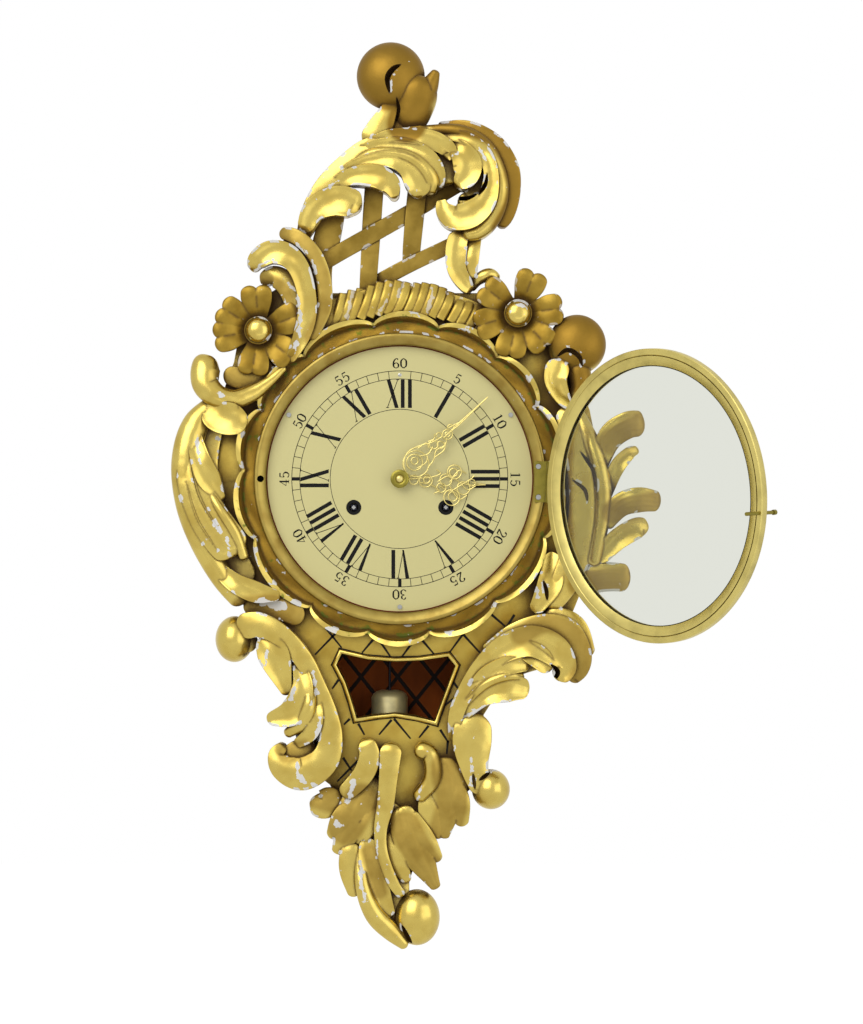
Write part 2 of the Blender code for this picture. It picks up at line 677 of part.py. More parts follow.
def ribbon_room():
    return rod(RIBBON_OUTER_R + GAP, GROUND - BOARD_T, BEZEL_FRONT + BOARD_T, steps=ROUND_STEPS)


def board_room():
    return prism(offset(drawn(BOARD_OUTLINE), CARVED_GAP), BOARD_BACK - BOARD_T, BOARD_FRONT + GAP)


def box_inside():
    return offset(drawn(BOX_OUTLINE), -BOX_WALL)


def hanger_z():
    return max(z for x, z in drawn(BOX_OUTLINE)) - HANGER_BELOW_TOP


def latch_hole(back, front):
    return rod(LATCH_R + LATCH_GAP, back, front, -LATCH_ORBIT, 0, CATCH_STEPS)


def make_case():
    """The box behind, its cover and hanger, and the board that carries everything else."""
    box = drawn(BOX_OUTLINE)
    inside = box_inside()
    hanger_at = hanger_z()
    piece("back_box", frame(inside, box, BOX_BACK, BOX_FRONT), "wood")

    cover = piece("rear_cover", prism(box, 0, COVER_T), "wood")
    pocket = rectangle(0, hanger_at, HANGER_W + 2 * GAP, HANGER_H + 2 * GAP)
    nail_room = rectangle(0, hanger_at, 4 * KEYHOLE_R, HANGER_H - 2 * KEYHOLE_SLOT_R)
    cut(cover, prism(pocket, -GAP, HANGER_T + GAP), prism(nail_room, -GAP, COVER_T + GAP))

    hanger = piece("hanger_plate", prism(rectangle(0, hanger_at, HANGER_W, HANGER_H), 0, HANGER_T), "steel")
    foot = hanger_at - KEYHOLE_RISE / 2
    slot = rectangle(0, foot + KEYHOLE_RISE / 2, 2 * KEYHOLE_SLOT_R, KEYHOLE_RISE)
    cut(hanger, rod(KEYHOLE_R, -GAP, HANGER_T + GAP, 0, foot), prism(slot, -GAP, HANGER_T + GAP),
        rod(KEYHOLE_SLOT_R, -GAP, HANGER_T + GAP, 0, foot + KEYHOLE_RISE))

    board = piece("case_board", prism(drawn(BOARD_OUTLINE), BOARD_BACK, BOARD_FRONT), "matt_gilt")
    cut(board, rod(MOVEMENT_HOLE_R, BOARD_BACK - GAP, BOARD_FRONT + GAP, steps=ROUND_STEPS),
        prism(drawn(WINDOW_OUTLINE), BOARD_BACK - GAP, BOARD_FRONT + GAP),
        latch_hole(BOARD_FRONT - LATCH_BEHIND, BOARD_FRONT + GAP),
        *[rod(DIAL_PIN_R + GAP, GROUND - DIAL_PIN_REACH - GAP, GROUND, *place, CATCH_STEPS)
          for place in dial_pin_places()])

    left, right = max(x for x, z in inside[8:]), min(x for x, z in inside[4:7])
    floor = min(z for x, z in inside)
    lattice = rectangle((left + right) / 2, floor + GAP + LATTICE_H / 2, right - left - 2 * GAP, LATTICE_H)
    piece("lattice_board", prism(lattice, BOX_BACK, BOX_BACK + LATTICE_T), "wood")

    window = drawn(WINDOW_OUTLINE)
    piece("window_frame", frame(window, offset(window, WINDOW_BEAD_W), GROUND, GROUND + WINDOW_BEAD_H), "gilt")


def dial_pin_places():
    angles = [math.radians(a) for a in DIAL_PIN_ANGLES]
    return [(DIAL_PIN_ORBIT * math.cos(a), DIAL_PIN_ORBIT * math.sin(a)) for a in angles]


def make_dial_surround():
    """The plain seat that the bezel closes on and the twisted ribbon round it."""
    chamfer = SEAT_W / 8
    seat = piece("dial_seat_ring", turned((
        (SEAT_INNER_R, GROUND), (SEAT_INNER_R, SEAT_FRONT - chamfer), (SEAT_INNER_R + chamfer, SEAT_FRONT),
        (SEAT_OUTER_R - chamfer, SEAT_FRONT), (SEAT_OUTER_R, SEAT_FRONT - chamfer), (SEAT_OUTER_R, GROUND)),
        ROUND_STEPS, closed=True), "gilt")
    leaf_seat = prism(rectangle(SEAT_OUTER_R, -HINGE_DROP, 2 * SEAT_W + 2 * GAP, HINGE_H + 2 * GAP),
                      SEAT_FRONT - HINGE_LEAF_T - GAP, BEZEL_FRONT)
    screws = [rod(HINGE_SCREW_R / 2 + GAP, GROUND + GAP, SEAT_FRONT, *place, CATCH_STEPS)
              for place in hinge_screw_places()]
    cut(seat, leaf_seat, latch_hole(GROUND - GAP, SEAT_FRONT + GAP), *screws)
    smooth_shaded(seat)

    shape = bmesh.new()
    steps = RIBBON_TWISTS * RIBBON_STEPS_PER_TWIST
    rings = []
    for i in range(steps):
        angle = 2 * math.pi * i / steps
        lead = math.cos(RIBBON_TWISTS * angle)
        lag = math.sin(RIBBON_TWISTS * angle)
        width = RIBBON_W * (1 - RIBBON_SCALLOP * (1 - lag))
        ring = []
        for across, up, leading, lagging in RIBBON_SECTION:
            radius = RIBBON_INNER_R + width * across
            height = RIBBON_H * (up + leading * lead + lagging * lag)
            spot = (radius * math.cos(angle), -GROUND - height, radius * math.sin(angle))
            ring.append(shape.verts.new(spot))
        rings.append(ring)
    for a, b in zip(rings, rings[1:] + rings[:1]):
        for i in range(len(a)):
            shape.faces.new((a[i - 1], a[i], b[i], b[i - 1]))
    ribbon = piece("ribbon_moulding", shape, "gilt")
    swing = rectangle(RIBBON_OUTER_R, -HINGE_DROP, 2 * RIBBON_W + 2 * GAP, HINGE_H + 2 * RIBBON_W)
    cut(ribbon, prism(swing, SEAT_FRONT - RIBBON_H / 6, BEZEL_FRONT + RIBBON_H))
    smooth_shaded(ribbon)


def make_flower(name):
    """A flower of overlapping petals with a pocket for its domed boss."""
    (u, v), reach, petal, angles = FLOWER_PETALS[name]
    petals = []
    for angle in map(math.radians, angles):
        tip_u, tip_v = u + reach * math.cos(angle), v - reach * math.sin(angle)
        half_depth = FLOWER_H / RELIEF / 2
        petals.append((tip_u, tip_v, petal, half_depth, half_depth))
    petals.append((u, v, reach, FLOWER_H / RELIEF / 3, FLOWER_H / RELIEF / 2))
    flower = carved(name, GROUND, balls=petals, finish="matt_gilt")
    x, z = grid(u, v)
    seat = GROUND + FLOWER_H / 2
    cut(flower, rod(BOSS_R + GAP, seat, GROUND + 4 * FLOWER_H, x, z), ribbon_room())
    shoulder = BOSS_R / 4
    dome = turned(((0, seat + GAP), (BOSS_R, seat + GAP), (BOSS_R, seat + BOSS_H - shoulder),
                   (BOSS_R - shoulder, seat + BOSS_H), (BOSS_R / 2, seat + BOSS_H + shoulder),
                   (0, seat + BOSS_H + 1.3 * shoulder)), SMALL_STEPS)
    smooth_shaded(piece(name + "_boss", moved(dome, Matrix.Translation((x, 0, z))), "gilt"))
    return flower


def make_trellis(crest):
    """Crossing laths let into each other under the crest."""
    lath_back = BOARD_FRONT - TRELLIS_T
    shapes = []
    for (u0, v0, w0), (u1, v1, w1) in TRELLIS_BARS:
        start, end = Vector(grid(u0, v0)), Vector(grid(u1, v1))
        ahead = (end - start).normalized()
        across = Vector((-ahead.y, ahead.x)) * UNIT
        outline = [tuple(start + across * w0), tuple(start - across * w0),
                   tuple(end - across * w1), tuple(end + across * w1)]
        lift = GAP * len(shapes)
        shapes.append(prism(outline, lath_back + lift, BOARD_FRONT - lift))
    trellis = fused("crest_trellis", "matt_gilt", *shapes)
    cut(trellis, swollen(crest), board_room())


def make_carving():
    """Every carved ornament, from the front ones back, each cut clear of those in front of it."""
    left_flower = make_flower("left_flower")
    right_flower = make_flower("right_flower")

    shoulder = carved("left_shoulder_scroll", GROUND, LEFT_SHOULDER_FRONDS)
    cut(shoulder, swollen(left_flower), ribbon_room())
    hook = carved("left_hook_scroll", GROUND, LEFT_HOOK_FRONDS)
    cut(hook, swollen(left_flower), swollen(shoulder), ribbon_room())
    bud = carved("right_shoulder_bud", GROUND, RIGHT_BUD_FRONDS, RIGHT_BUD_BALLS)
    cut(bud, swollen(right_flower), ribbon_room())

    lower_left = carved("lower_left_scroll", GROUND, LOWER_LEFT_FRONDS, LOWER_LEFT_BALLS)
    lower_right = carved("lower_right_scroll", GROUND, LOWER_RIGHT_FRONDS, LOWER_RIGHT_BALLS)
    left_leaf = carved("left_side_leaf", GROUND, LEFT_LEAF_FRONDS)
    cut(left_leaf, swollen(hook), swollen(lower_left), ribbon_room())
    right_leaf = carved("right_side_leaf", GROUND, RIGHT_LEAF_FRONDS)
    cut(right_leaf, swollen(bud), swollen(lower_right), ribbon_room())

    drop = carved("drop_leaf", GROUND, DROP_FRONDS, DROP_BALLS)
    cut(drop, swollen(lower_left), swollen(lower_right))

    crest = carved("crest_scroll", CREST_BACK, CREST_FRONDS, CREST_BALLS)
    cut(crest, swollen(shoulder), swollen(right_flower), board_room())
    make_trellis(crest)

    band = piece("fluted_band", prism(drawn(BAND_OUTLINE), GROUND, GROUND + BAND_H), "matt_gilt")
    cut(band, ribbon_room(), swollen(shoulder), swollen(right_flower), swollen(crest))


def hinge_frame():
    """The closed door's frame: its origin on the hinge, its Z along the hinge's axis."""
    place = Vector((BEZEL_R + HINGE_OFFSET, -BEZEL_FRONT + HINGE_BELOW_FRONT, -HINGE_DROP))
    tilt = Vector((0, 0, 1)).rotation_difference(HINGE_AXIS)
    return Matrix.Translation(place) @ tilt.to_matrix().to_4x4()


def hinge_screw_places():
    x = BEZEL_R + HINGE_OFFSET - HINGE_LEAF_W + HINGE_SCREW_R + 3 * GAP
    return [(x, -HINGE_DROP + side * HINGE_SCREW_SPREAD / 2) for side in (1, -1)]


def knuckle(low, high):
    """A piece of the hinge's barrel between two heights along its axis."""
    return moved(rod(HINGE_KNUCKLE_R, -high, -low), hinge_frame() @ UPRIGHT)


def pin_shape(radius, half_length):
    return moved(rod(radius, -half_length, half_length, steps=CATCH_STEPS), hinge_frame() @ UPRIGHT)


def make_hinge():
    """The case half, its pin and screws. The door half belongs to the door."""
    hinge = hinge_frame().translation
    third = HINGE_H / 6
    leaf_front = SEAT_FRONT
    leaf_back = leaf_front - HINGE_LEAF_T
    leaf = rectangle(hinge.x - HINGE_LEAF_W / 2, -HINGE_DROP, HINGE_LEAF_W, HINGE_H)
    lugs = []
    for side in (1, -1):
        lug = rectangle(hinge.x, -HINGE_DROP + side * 2 * third, HINGE_KNUCKLE_R * 1.6, 2 * third - 2 * GAP)
        lugs.append(prism(lug, leaf_back, -hinge.y))
    barrel = [knuckle(third + GAP, 3 * third), knuckle(-3 * third, -third - GAP)]
    case_leaf = fused("hinge_leaf_case", "brass", prism(leaf, leaf_back, leaf_front), *lugs, *barrel)
    head_back = leaf_front - HINGE_SCREW_HEAD_T
    holes = []
    for x, z in hinge_screw_places():
        holes.append(rod(HINGE_SCREW_R / 2 + GAP, leaf_back - GAP, leaf_front + GAP, x, z, CATCH_STEPS))
        holes.append(rod(HINGE_SCREW_R + GAP, head_back - GAP, leaf_front + GAP, x, z))
    cut(case_leaf, pin_shape(HINGE_PIN_R + GAP, HINGE_H), *holes)

    piece("hinge_pin", pin_shape(HINGE_PIN_R, HINGE_H / 2 + GAP), "steel")
    for number, (x, z) in enumerate(hinge_screw_places(), 1):
        fused("hinge_screw_%d" % number, "steel",
              rod(HINGE_SCREW_R / 2, GROUND + 2 * GAP, leaf_front - GAP, x, z, CATCH_STEPS),
              rod(HINGE_SCREW_R, head_back, leaf_front, x, z))


def make_door():
    """The bezel, its glass, retainer, hinge half and latch, swung open on the hinge's axis."""
    glass_r = BEZEL_APERTURE_R + GLASS_LAP
    glass_front = BEZEL_FRONT - BEZEL_LIP_T - GAP
    glass_back = glass_front - GLASS_T
    wall_inner = BEZEL_R - BEZEL_WALL
    bezel = piece("bezel_ring", turned((
        (BEZEL_APERTURE_R, BEZEL_FRONT - BEZEL_LIP_T), (wall_inner, BEZEL_FRONT - BEZEL_LIP_T),
        (wall_inner, BEZEL_BACK), (BEZEL_R, BEZEL_BACK), (BEZEL_R, BEZEL_FRONT - BEZEL_LIP_T),
        (BEZEL_R - BEZEL_LIP_T, BEZEL_FRONT), (BEZEL_APERTURE_R + BEZEL_LIP_T, BEZEL_FRONT)),
        ROUND_STEPS, closed=True), "brass")
    flat = BEZEL_R - HINGE_LEAF_T - 2 * GAP
    hinge_flat = rectangle(flat + BEZEL_WALL, -HINGE_DROP, 2 * BEZEL_WALL, HINGE_H + 2 * GAP)
    cut(bezel, prism(hinge_flat, BEZEL_BACK - GAP, BEZEL_FRONT + GAP),
        rod(LATCH_R + GAP, BEZEL_BACK - GAP, BEZEL_FRONT + GAP, -LATCH_ORBIT, 0, CATCH_STEPS))
    glass = piece("bezel_glass", rod(glass_r, glass_back, glass_front, steps=ROUND_STEPS), "glass")
    retainer = piece("glass_retainer", turned((
        (BEZEL_APERTURE_R, glass_back - GAP), (BEZEL_APERTURE_R, glass_back - GAP - RETAINER_T / 3),
        (wall_inner - GAP - RETAINER_T, BEZEL_BACK), (wall_inner - GAP, BEZEL_BACK),
        (wall_inner - GAP, glass_back - GAP)), ROUND_STEPS, closed=True), "brass")

    third = HINGE_H / 6
    hinge = hinge_frame().translation
    plate_in = flat + GAP
    plate = rectangle(plate_in + HINGE_LEAF_T / 2, -HINGE_DROP, HINGE_LEAF_T, HINGE_H - 2 * GAP)
    bridge = rectangle((plate_in + hinge.x) / 2, -HINGE_DROP, hinge.x - plate_in, 2 * third - 4 * GAP)
    door_leaf = fused("hinge_leaf_door", "brass", prism(plate, BEZEL_BACK + GAP, BEZEL_FRONT - GAP),
                      prism(bridge, -hinge.y - HINGE_PIN_R, -hinge.y + HINGE_KNUCKLE_R * 0.8),
                      knuckle(-third, third))
    cut(door_leaf, pin_shape(HINGE_PIN_R + GAP, HINGE_H))

    latch_back, latch_front = BEZEL_BACK - LATCH_BEHIND, BEZEL_FRONT + LATCH_AHEAD
    head = latch_front - LATCH_HEAD_H
    latch = fused("latch_pin", "brass", rod(LATCH_R, latch_back, latch_front, -LATCH_ORBIT, 0, CATCH_STEPS),
                  rod(LATCH_HEAD_R, head, latch_front + GAP, -LATCH_ORBIT, 0, CATCH_STEPS))

    swing = bpy.data.objects.new("door_swing", None)
    bpy.context.scene.collection.objects.link(swing)
    closed = hinge_frame()
    swing.matrix_world = closed @ Matrix.Rotation(math.radians(DOOR_OPEN_DEG), 4, "Z")
    for obj in (bezel, glass, retainer, door_leaf, latch):
        obj.data.transform(closed.inverted())
        obj.parent = swing
        smooth_shaded(obj)


def winding_places():
    return {"going": (-WINDING_X, -WINDING_DROP), "strike": (WINDING_X, -WINDING_DROP)}


def make_dial():
    dial = piece("dial_plate", rod(DIAL_R, GROUND, DIAL_FRONT, steps=ROUND_STEPS), "enamel")
    holes = [(HOUR_PIPE_R + RUNNING_GAP, 0, 0)]
    holes += [(WINDING_HOLE_R, x, z) for x, z in winding_places().values()]
    holes += [(DIAL_PIN_R + GAP, x, z) for x, z in dial_pin_places()]
    cut(dial, *[rod(radius, GROUND - GAP, DIAL_FRONT + GAP, x, z) for radius, x, z in holes])
    for number, (x, z) in enumerate(dial_pin_places(), 1):
        fused("dial_pin_%d" % number, "steel",
              rod(DIAL_PIN_R, GROUND - DIAL_PIN_REACH, DIAL_FRONT + 2 * GAP, x, z, CATCH_STEPS),
              rod(DIAL_PIN_HEAD_R, DIAL_FRONT + GAP, DIAL_FRONT + GAP + DIAL_PIN_HEAD_H, x, z, CATCH_STEPS))


def make_hand(name, length, outline, back, bore, degrees):
    """A hand pointing at its place on the dial, with a round hub bored for its pipe or arbor."""
    right = [(half * HAND_HUB_R, share * length) for share, half in outline]
    left = [(-x, z) for x, z in reversed(right)]
    hand = fused(name, "brass", prism(right + left, back, back + HAND_T),
                 rod(HAND_HUB_R, back - GAP / 2, back + HAND_T + GAP / 2))
    cut(hand, rod(bore, back - 2 * GAP, back + HAND_T + 2 * GAP))
    hand.data.transform(Matrix.Rotation(math.radians(degrees), 4, "Y"))


def make_hands():
    """Both hands and the nut that holds them."""
    hour_back = DIAL_FRONT + HAND_SPACING
    minute_back = hour_back + HAND_T + HAND_SPACING
    make_hand("hour_hand", HOUR_HAND_L, HOUR_HAND_OUTLINE, hour_back, HOUR_PIPE_R + GAP, HOUR_HAND_DEG)
    make_hand("minute_hand", MINUTE_HAND_L, MINUTE_HAND_OUTLINE, minute_back, CENTRE_ARBOR_R + GAP,
              MINUTE_HAND_DEG)
    nut_back = minute_back + HAND_T + 2 * GAP
    nut = turned(((0, nut_back), (HAND_HUB_R, nut_back), (HAND_HUB_R, nut_back + HAND_NUT_H / 2),
                  (HAND_HUB_R / 2, nut_back + HAND_NUT_H), (0, nut_back + HAND_NUT_H)), SMALL_STEPS)
    smooth_shaded(piece("hand_nut", nut, "brass"))
    return hour_back, minute_back


def make_plates(holes):
    """The two movement plates, the pillars riveted in the back one, the straps and the suspension cock."""
    middle = (PLATE_TOP - PLATE_BOTTOM) / 2
    outline = rectangle(0, middle, 2 * PLATE_HALF_W, PLATE_TOP + PLATE_BOTTOM)
    front = piece("front_plate", prism(outline, FRONT_PLATE_BACK, FRONT_PLATE_FRONT), "brass")
    stud_x, stud_z = minute_stud_place()
    combine(front, "UNION", [rod(ARBOR_R, FRONT_PLATE_BACK + GAP, motion_work_depth() + 4 * WHEEL_T,
                                 stud_x, stud_z)])
    cut(front, *[rod(r + RUNNING_GAP, FRONT_PLATE_BACK - GAP, FRONT_PLATE_FRONT + GAP, x, z)
                 for r, x, z in holes])

    pillars = []
    for x in (-1, 1):
        for z in (PLATE_TOP - PILLAR_INSET, PILLAR_INSET - PLATE_BOTTOM):
            pillars.append(rod(PILLAR_R, BACK_PLATE_BACK + GAP, FRONT_PLATE_BACK - GAP,
                               x * (PLATE_HALF_W - PILLAR_INSET), z))
    stud = rod(HAMMER_STUD_R, PENDULUM_DEPTH + ROD_R, BACK_PLATE_FRONT - GAP, hammer_x(), HAMMER_Z)
    back = fused("back_plate", "brass", prism(outline, BACK_PLATE_BACK, BACK_PLATE_FRONT), stud, *pillars)
    cut(back, rod(ARBOR_R + RUNNING_GAP, BACK_PLATE_BACK - GAP, BACK_PLATE_FRONT + GAP,
                  PENDULUM_X, PENDULUM_TOP))

    half_length = max(x for x, z in box_inside()) - STRAP_END_GAP
    for name, z in (("movement_strap_upper", PLATE_TOP - STRAP_INSET),
                    ("movement_strap_lower", STRAP_INSET - PLATE_BOTTOM)):
        strap = rectangle(0, z, 2 * half_length, STRAP_W)
        piece(name, prism(strap, STRAP_FRONT - STRAP_T, STRAP_FRONT), "steel")

    cock = rectangle(PENDULUM_X, PENDULUM_TOP + ROD_ABOVE + GAP + COCK_H / 2, COCK_W, COCK_H)
    piece("suspension_cock", prism(cock, PENDULUM_DEPTH - COCK_W / 3, BACK_PLATE_BACK - GAP), "brass")


def minute_stud_place():
    angle = math.radians(MINUTE_STUD_DEG)
    return MOTION_CENTRES * math.cos(angle), MOTION_CENTRES * math.sin(angle)


def motion_work_depth():
    return FRONT_PLATE_FRONT + MOTION_WORK_LIFT


def make_movement(hour_back, minute_back):
    """Barrels, winding arbors, the going train and the motion work, each wheel on its own arbor."""
    low, high = BACK_PLATE_FRONT + GAP, FRONT_PLATE_BACK - GAP
    great = high - GREAT_LEVEL * WHEEL_T
    second = high - SECOND_LEVEL * WHEEL_T
    centre = low + CENTRE_LEVEL * WHEEL_T
    third = low + THIRD_LEVEL * WHEEL_T
    escape = low + ESCAPE_LEVEL * WHEEL_T
    for name, (x, z) in winding_places().items():
        barrel = fused(name + "_barrel", "brass",
                       rod(BARREL_R, great - BARREL_L, great + GAP, x, z, 2 * SMALL_STEPS),
                       toothed(GREAT_TEETH, GREAT_WHEEL_R, great, great + WHEEL_T, x, z))
        cut(barrel, rod(WINDING_ARBOR_R + RUNNING_GAP, low, high, x, z))
        pivoted(barrel, x, z)
        square = rectangle(x, z, WINDING_SQUARE, WINDING_SQUARE)
        arbor = fused(name + "_winding_arbor", "steel", rod(WINDING_ARBOR_R, low, motion_work_depth(), x, z),
                      prism(square, motion_work_depth() - GAP, DIAL_FRONT - GAP))
        pivoted(arbor, x, z)

    second_at = meeting_point(winding_places()["going"], GREAT_WHEEL_R + SECOND_PINION_R + RUNNING_GAP,
                              (0, 0), SECOND_WHEEL_R + CENTRE_PINION_R + RUNNING_GAP, 1)
    pallet_at = (PENDULUM_X, PENDULUM_TOP)
    escape_at = (PENDULUM_X, PENDULUM_TOP - ESCAPE_DROP)
    third_at = meeting_point((0, 0), CENTRE_WHEEL_R + THIRD_PINION_R + RUNNING_GAP,
                             escape_at, THIRD_WHEEL_R + ESCAPE_PINION_R + RUNNING_GAP, -1)
    train = (
        ("second_wheel", second_at, (SECOND_TEETH, SECOND_WHEEL_R, second),
         (SECOND_PINION_TEETH, SECOND_PINION_R, great)),
        ("third_wheel", third_at, (THIRD_TEETH, THIRD_WHEEL_R, third),
         (THIRD_PINION_TEETH, THIRD_PINION_R, centre)),
        ("escape_wheel", escape_at, (ESCAPE_TEETH, ESCAPE_WHEEL_R, escape),
         (ESCAPE_PINION_TEETH, ESCAPE_PINION_R, third)),
    )
    for name, (x, z), *wheels in train:
        blanks = [toothed(teeth, tip, depth - WHEEL_T / 2, depth + WHEEL_T / 2, x, z)
                  for teeth, tip, depth in wheels]
        pivoted(fused(name, "brass", rod(ARBOR_R, low, high, x, z), *blanks), x, z)

    motion = motion_work_depth()
    fused("centre_arbor", "steel", rod(CENTRE_ARBOR_R, low, minute_back + HAND_T + GAP),
          toothed(CENTRE_TEETH, CENTRE_WHEEL_R, centre - WHEEL_T / 2, centre + WHEEL_T / 2),
          toothed(CENTRE_PINION_TEETH, CENTRE_PINION_R, second - WHEEL_T / 2, second + WHEEL_T / 2),
          toothed(CANNON_TEETH, CANNON_PINION_R, motion, motion + WHEEL_T))

    x, z = minute_stud_place()
    minute = fused("minute_wheel", "brass",
                   toothed(MINUTE_TEETH, MINUTE_WHEEL_R, motion, motion + WHEEL_T, x, z),
                   toothed(MINUTE_PINION_TEETH, MINUTE_PINION_R, motion + GAP, motion + 4 * WHEEL_T, x, z))
    cut(minute, rod(ARBOR_R + RUNNING_GAP, motion - GAP, motion + 5 * WHEEL_T, x, z))
    pivoted(minute, x, z)
    hour = motion + 2.5 * WHEEL_T
    hour_wheel = fused("hour_wheel", "brass", toothed(HOUR_TEETH, HOUR_WHEEL_R, hour, hour + WHEEL_T),
                       rod(HOUR_PIPE_R, hour - GAP, hour_back + HAND_T + GAP))
    cut(hour_wheel, rod(HOUR_PIPE_BORE, hour - 2 * GAP, minute_back))

    make_plates([(WINDING_ARBOR_R, x, z) for x, z in winding_places().values()] + [(CENTRE_ARBOR_R, 0, 0)])
    make_escapement(pallet_at, escape, low, high)


def make_escapement(pallet_at, escape, low, high):
    """The pallets with their crutch, and the pendulum on the same axis."""
    x, z = pallet_at
    hub = 2 * ARBOR_R
    reach = PALLET_REACH
    anchor = [(x + a, z + b) for a, b in (
        (-hub, hub), (hub, hub), (reach, -0.73 * reach), (reach, -1.09 * reach), (0.87 * reach, -reach),
        (0.6 * reach, -0.55 * reach), (0, -1.8 * hub), (-0.6 * reach, -0.55 * reach), (-0.87 * reach, -reach),
        (-reach, -1.09 * reach), (-reach, -0.73 * reach))]
    crutch_front = BACK_PLATE_BACK - 2 * GAP
    crutch = rectangle(x, z - CRUTCH_L / 2, CRUTCH_W, CRUTCH_L + CRUTCH_W)
    fork = rectangle(x, z - CRUTCH_L, CRUTCH_W, CRUTCH_W)
    fork_back = PENDULUM_DEPTH + ROD_R + RUNNING_GAP
    pallets = fused("pallets", "steel", rod(ARBOR_R, crutch_front - WHEEL_T - GAP, high, x, z),
                    prism(anchor, escape - WHEEL_T / 2, escape + WHEEL_T / 2),
                    prism(crutch, crutch_front - WHEEL_T, crutch_front),
                    prism(fork, fork_back, crutch_front - WHEEL_T / 2))
    pivoted(pallets, x, z)

    upright = Matrix.Translation((x, -PENDULUM_DEPTH, 0)) @ UPRIGHT
    bob_foot = BOB_TOP - BOB_H
    nut_top = bob_foot - GAP
    rod_shape = moved(rod(ROD_R, -(z + ROD_ABOVE), -(nut_top - RATING_NUT_H)), upright)
    nut = moved(rod(RATING_NUT_R, -nut_top, -(nut_top - RATING_NUT_H + GAP)), upright)
    pivoted(fused("pendulum_rod", "steel", rod_shape, nut), x, z)
    bob = turned(((ROD_R + GAP, -BOB_TOP), (BOB_R - BOB_EDGE, -BOB_TOP), (BOB_R, -BOB_TOP + BOB_EDGE),
                  (BOB_R, -bob_foot - BOB_EDGE), (BOB_R - BOB_EDGE, -bob_foot), (ROD_R + GAP, -bob_foot)),
                 2 * SMALL_STEPS, closed=True)
    pivoted(smooth_shaded(piece("pendulum_bob", moved(bob, upright), "brass")), x, z)


def hammer_x():
    """The hammer's stud stands under its head, whose face rests just short of the nearer gong rod."""
    return GONG_X - GONG_ROD_SPACING / 2 - GONG_ROD_R - GAP - HAMMER_HEAD_L / 2


def make_strike():
    """The rod gong on its block, and the hammer beside it."""
    middle = max(z for x, z in box_inside()) - GONG_BELOW_TOP - GONG_BLOCK / 2
    block = rectangle(GONG_X, middle, GONG_BLOCK, GONG_BLOCK)
    depth = BOX_BACK + GONG_BLOCK / 2
    rods = []
    for side in (-0.5, 0.5):
        place = Matrix.Translation((GONG_X + side * GONG_ROD_SPACING, -depth, middle))
        rods.append(moved(rod(GONG_ROD_R, 0, GONG_ROD_L, steps=CATCH_STEPS), place @ UPRIGHT))
    fused("rod_gong", "steel", prism(block, BOX_BACK, BOX_BACK + GONG_BLOCK), *rods)

    arm_front = BACK_PLATE_BACK - 2 * GAP
    arm_back = arm_front - 2 * WHEEL_T
    x, top = hammer_x(), HAMMER_Z + HAMMER_ARM_L
    arm = rectangle(x, HAMMER_Z + HAMMER_ARM_L / 2, HAMMER_ARM_W, HAMMER_ARM_L + HAMMER_ARM_W)
    post = rectangle(x, top, HAMMER_ARM_W, HAMMER_ARM_W)
    across = Matrix.Translation((x, -depth, top)) @ Matrix.Rotation(math.radians(90), 4, "Z")
    head = moved(rod(HAMMER_HEAD_R, -HAMMER_HEAD_L / 2, HAMMER_HEAD_L / 2), across)
    hammer = fused("strike_hammer", "steel", rod(HAMMER_HUB_R, arm_back - GAP, arm_front, x, HAMMER_Z),
                   prism(arm, arm_back, arm_front - GAP), prism(post, depth, arm_back + GAP), head)
    cut(hammer, rod(HAMMER_STUD_R + RUNNING_GAP, arm_back - 2 * GAP, arm_front + GAP, x, HAMMER_Z))
    pivoted(hammer, x, HAMMER_Z)


def main():
    clear_scene()
    make_case()
    make_dial_surround()
    make_carving()
    make_hinge()
    make_door()
    make_dial()
    make_movement(*make_hands())
    make_strike()


main()
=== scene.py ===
"""Looks of a giltwood wall clock: carved and gilded ornaments, a printed dial and an open glass door."""

import json
import math

import bmesh
import bpy
import numpy as np
from bpy.props import FloatProperty, FloatVectorProperty, IntProperty, PointerProperty
from mathutils import Matrix, Vector
from mathutils.bvhtree import BVHTree
from mathutils.kdtree import KDTree


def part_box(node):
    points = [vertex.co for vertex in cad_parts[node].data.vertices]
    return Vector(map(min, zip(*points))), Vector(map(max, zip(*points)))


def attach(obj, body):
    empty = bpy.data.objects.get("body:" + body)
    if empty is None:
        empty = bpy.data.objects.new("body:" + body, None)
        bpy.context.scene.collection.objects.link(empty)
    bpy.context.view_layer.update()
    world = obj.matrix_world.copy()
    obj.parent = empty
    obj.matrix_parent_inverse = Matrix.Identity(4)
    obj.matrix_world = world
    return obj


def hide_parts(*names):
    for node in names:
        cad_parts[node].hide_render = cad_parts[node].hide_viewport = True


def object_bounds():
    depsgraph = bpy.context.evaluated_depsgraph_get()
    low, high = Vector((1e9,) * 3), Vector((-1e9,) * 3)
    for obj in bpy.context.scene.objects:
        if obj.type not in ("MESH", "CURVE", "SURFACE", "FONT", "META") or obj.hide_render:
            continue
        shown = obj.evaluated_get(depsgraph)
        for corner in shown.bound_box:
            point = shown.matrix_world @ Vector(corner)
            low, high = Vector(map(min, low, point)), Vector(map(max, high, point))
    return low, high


bl_info = {
    "name": "Giltwood wall clock",
    "version": (1, 0, 0),
    "blender": (4, 5, 0),
    "location": "View3D > Sidebar > Clock",
    "description": "Builds the looks of a carved giltwood wall clock round its frame",
    "category": "Object",
}

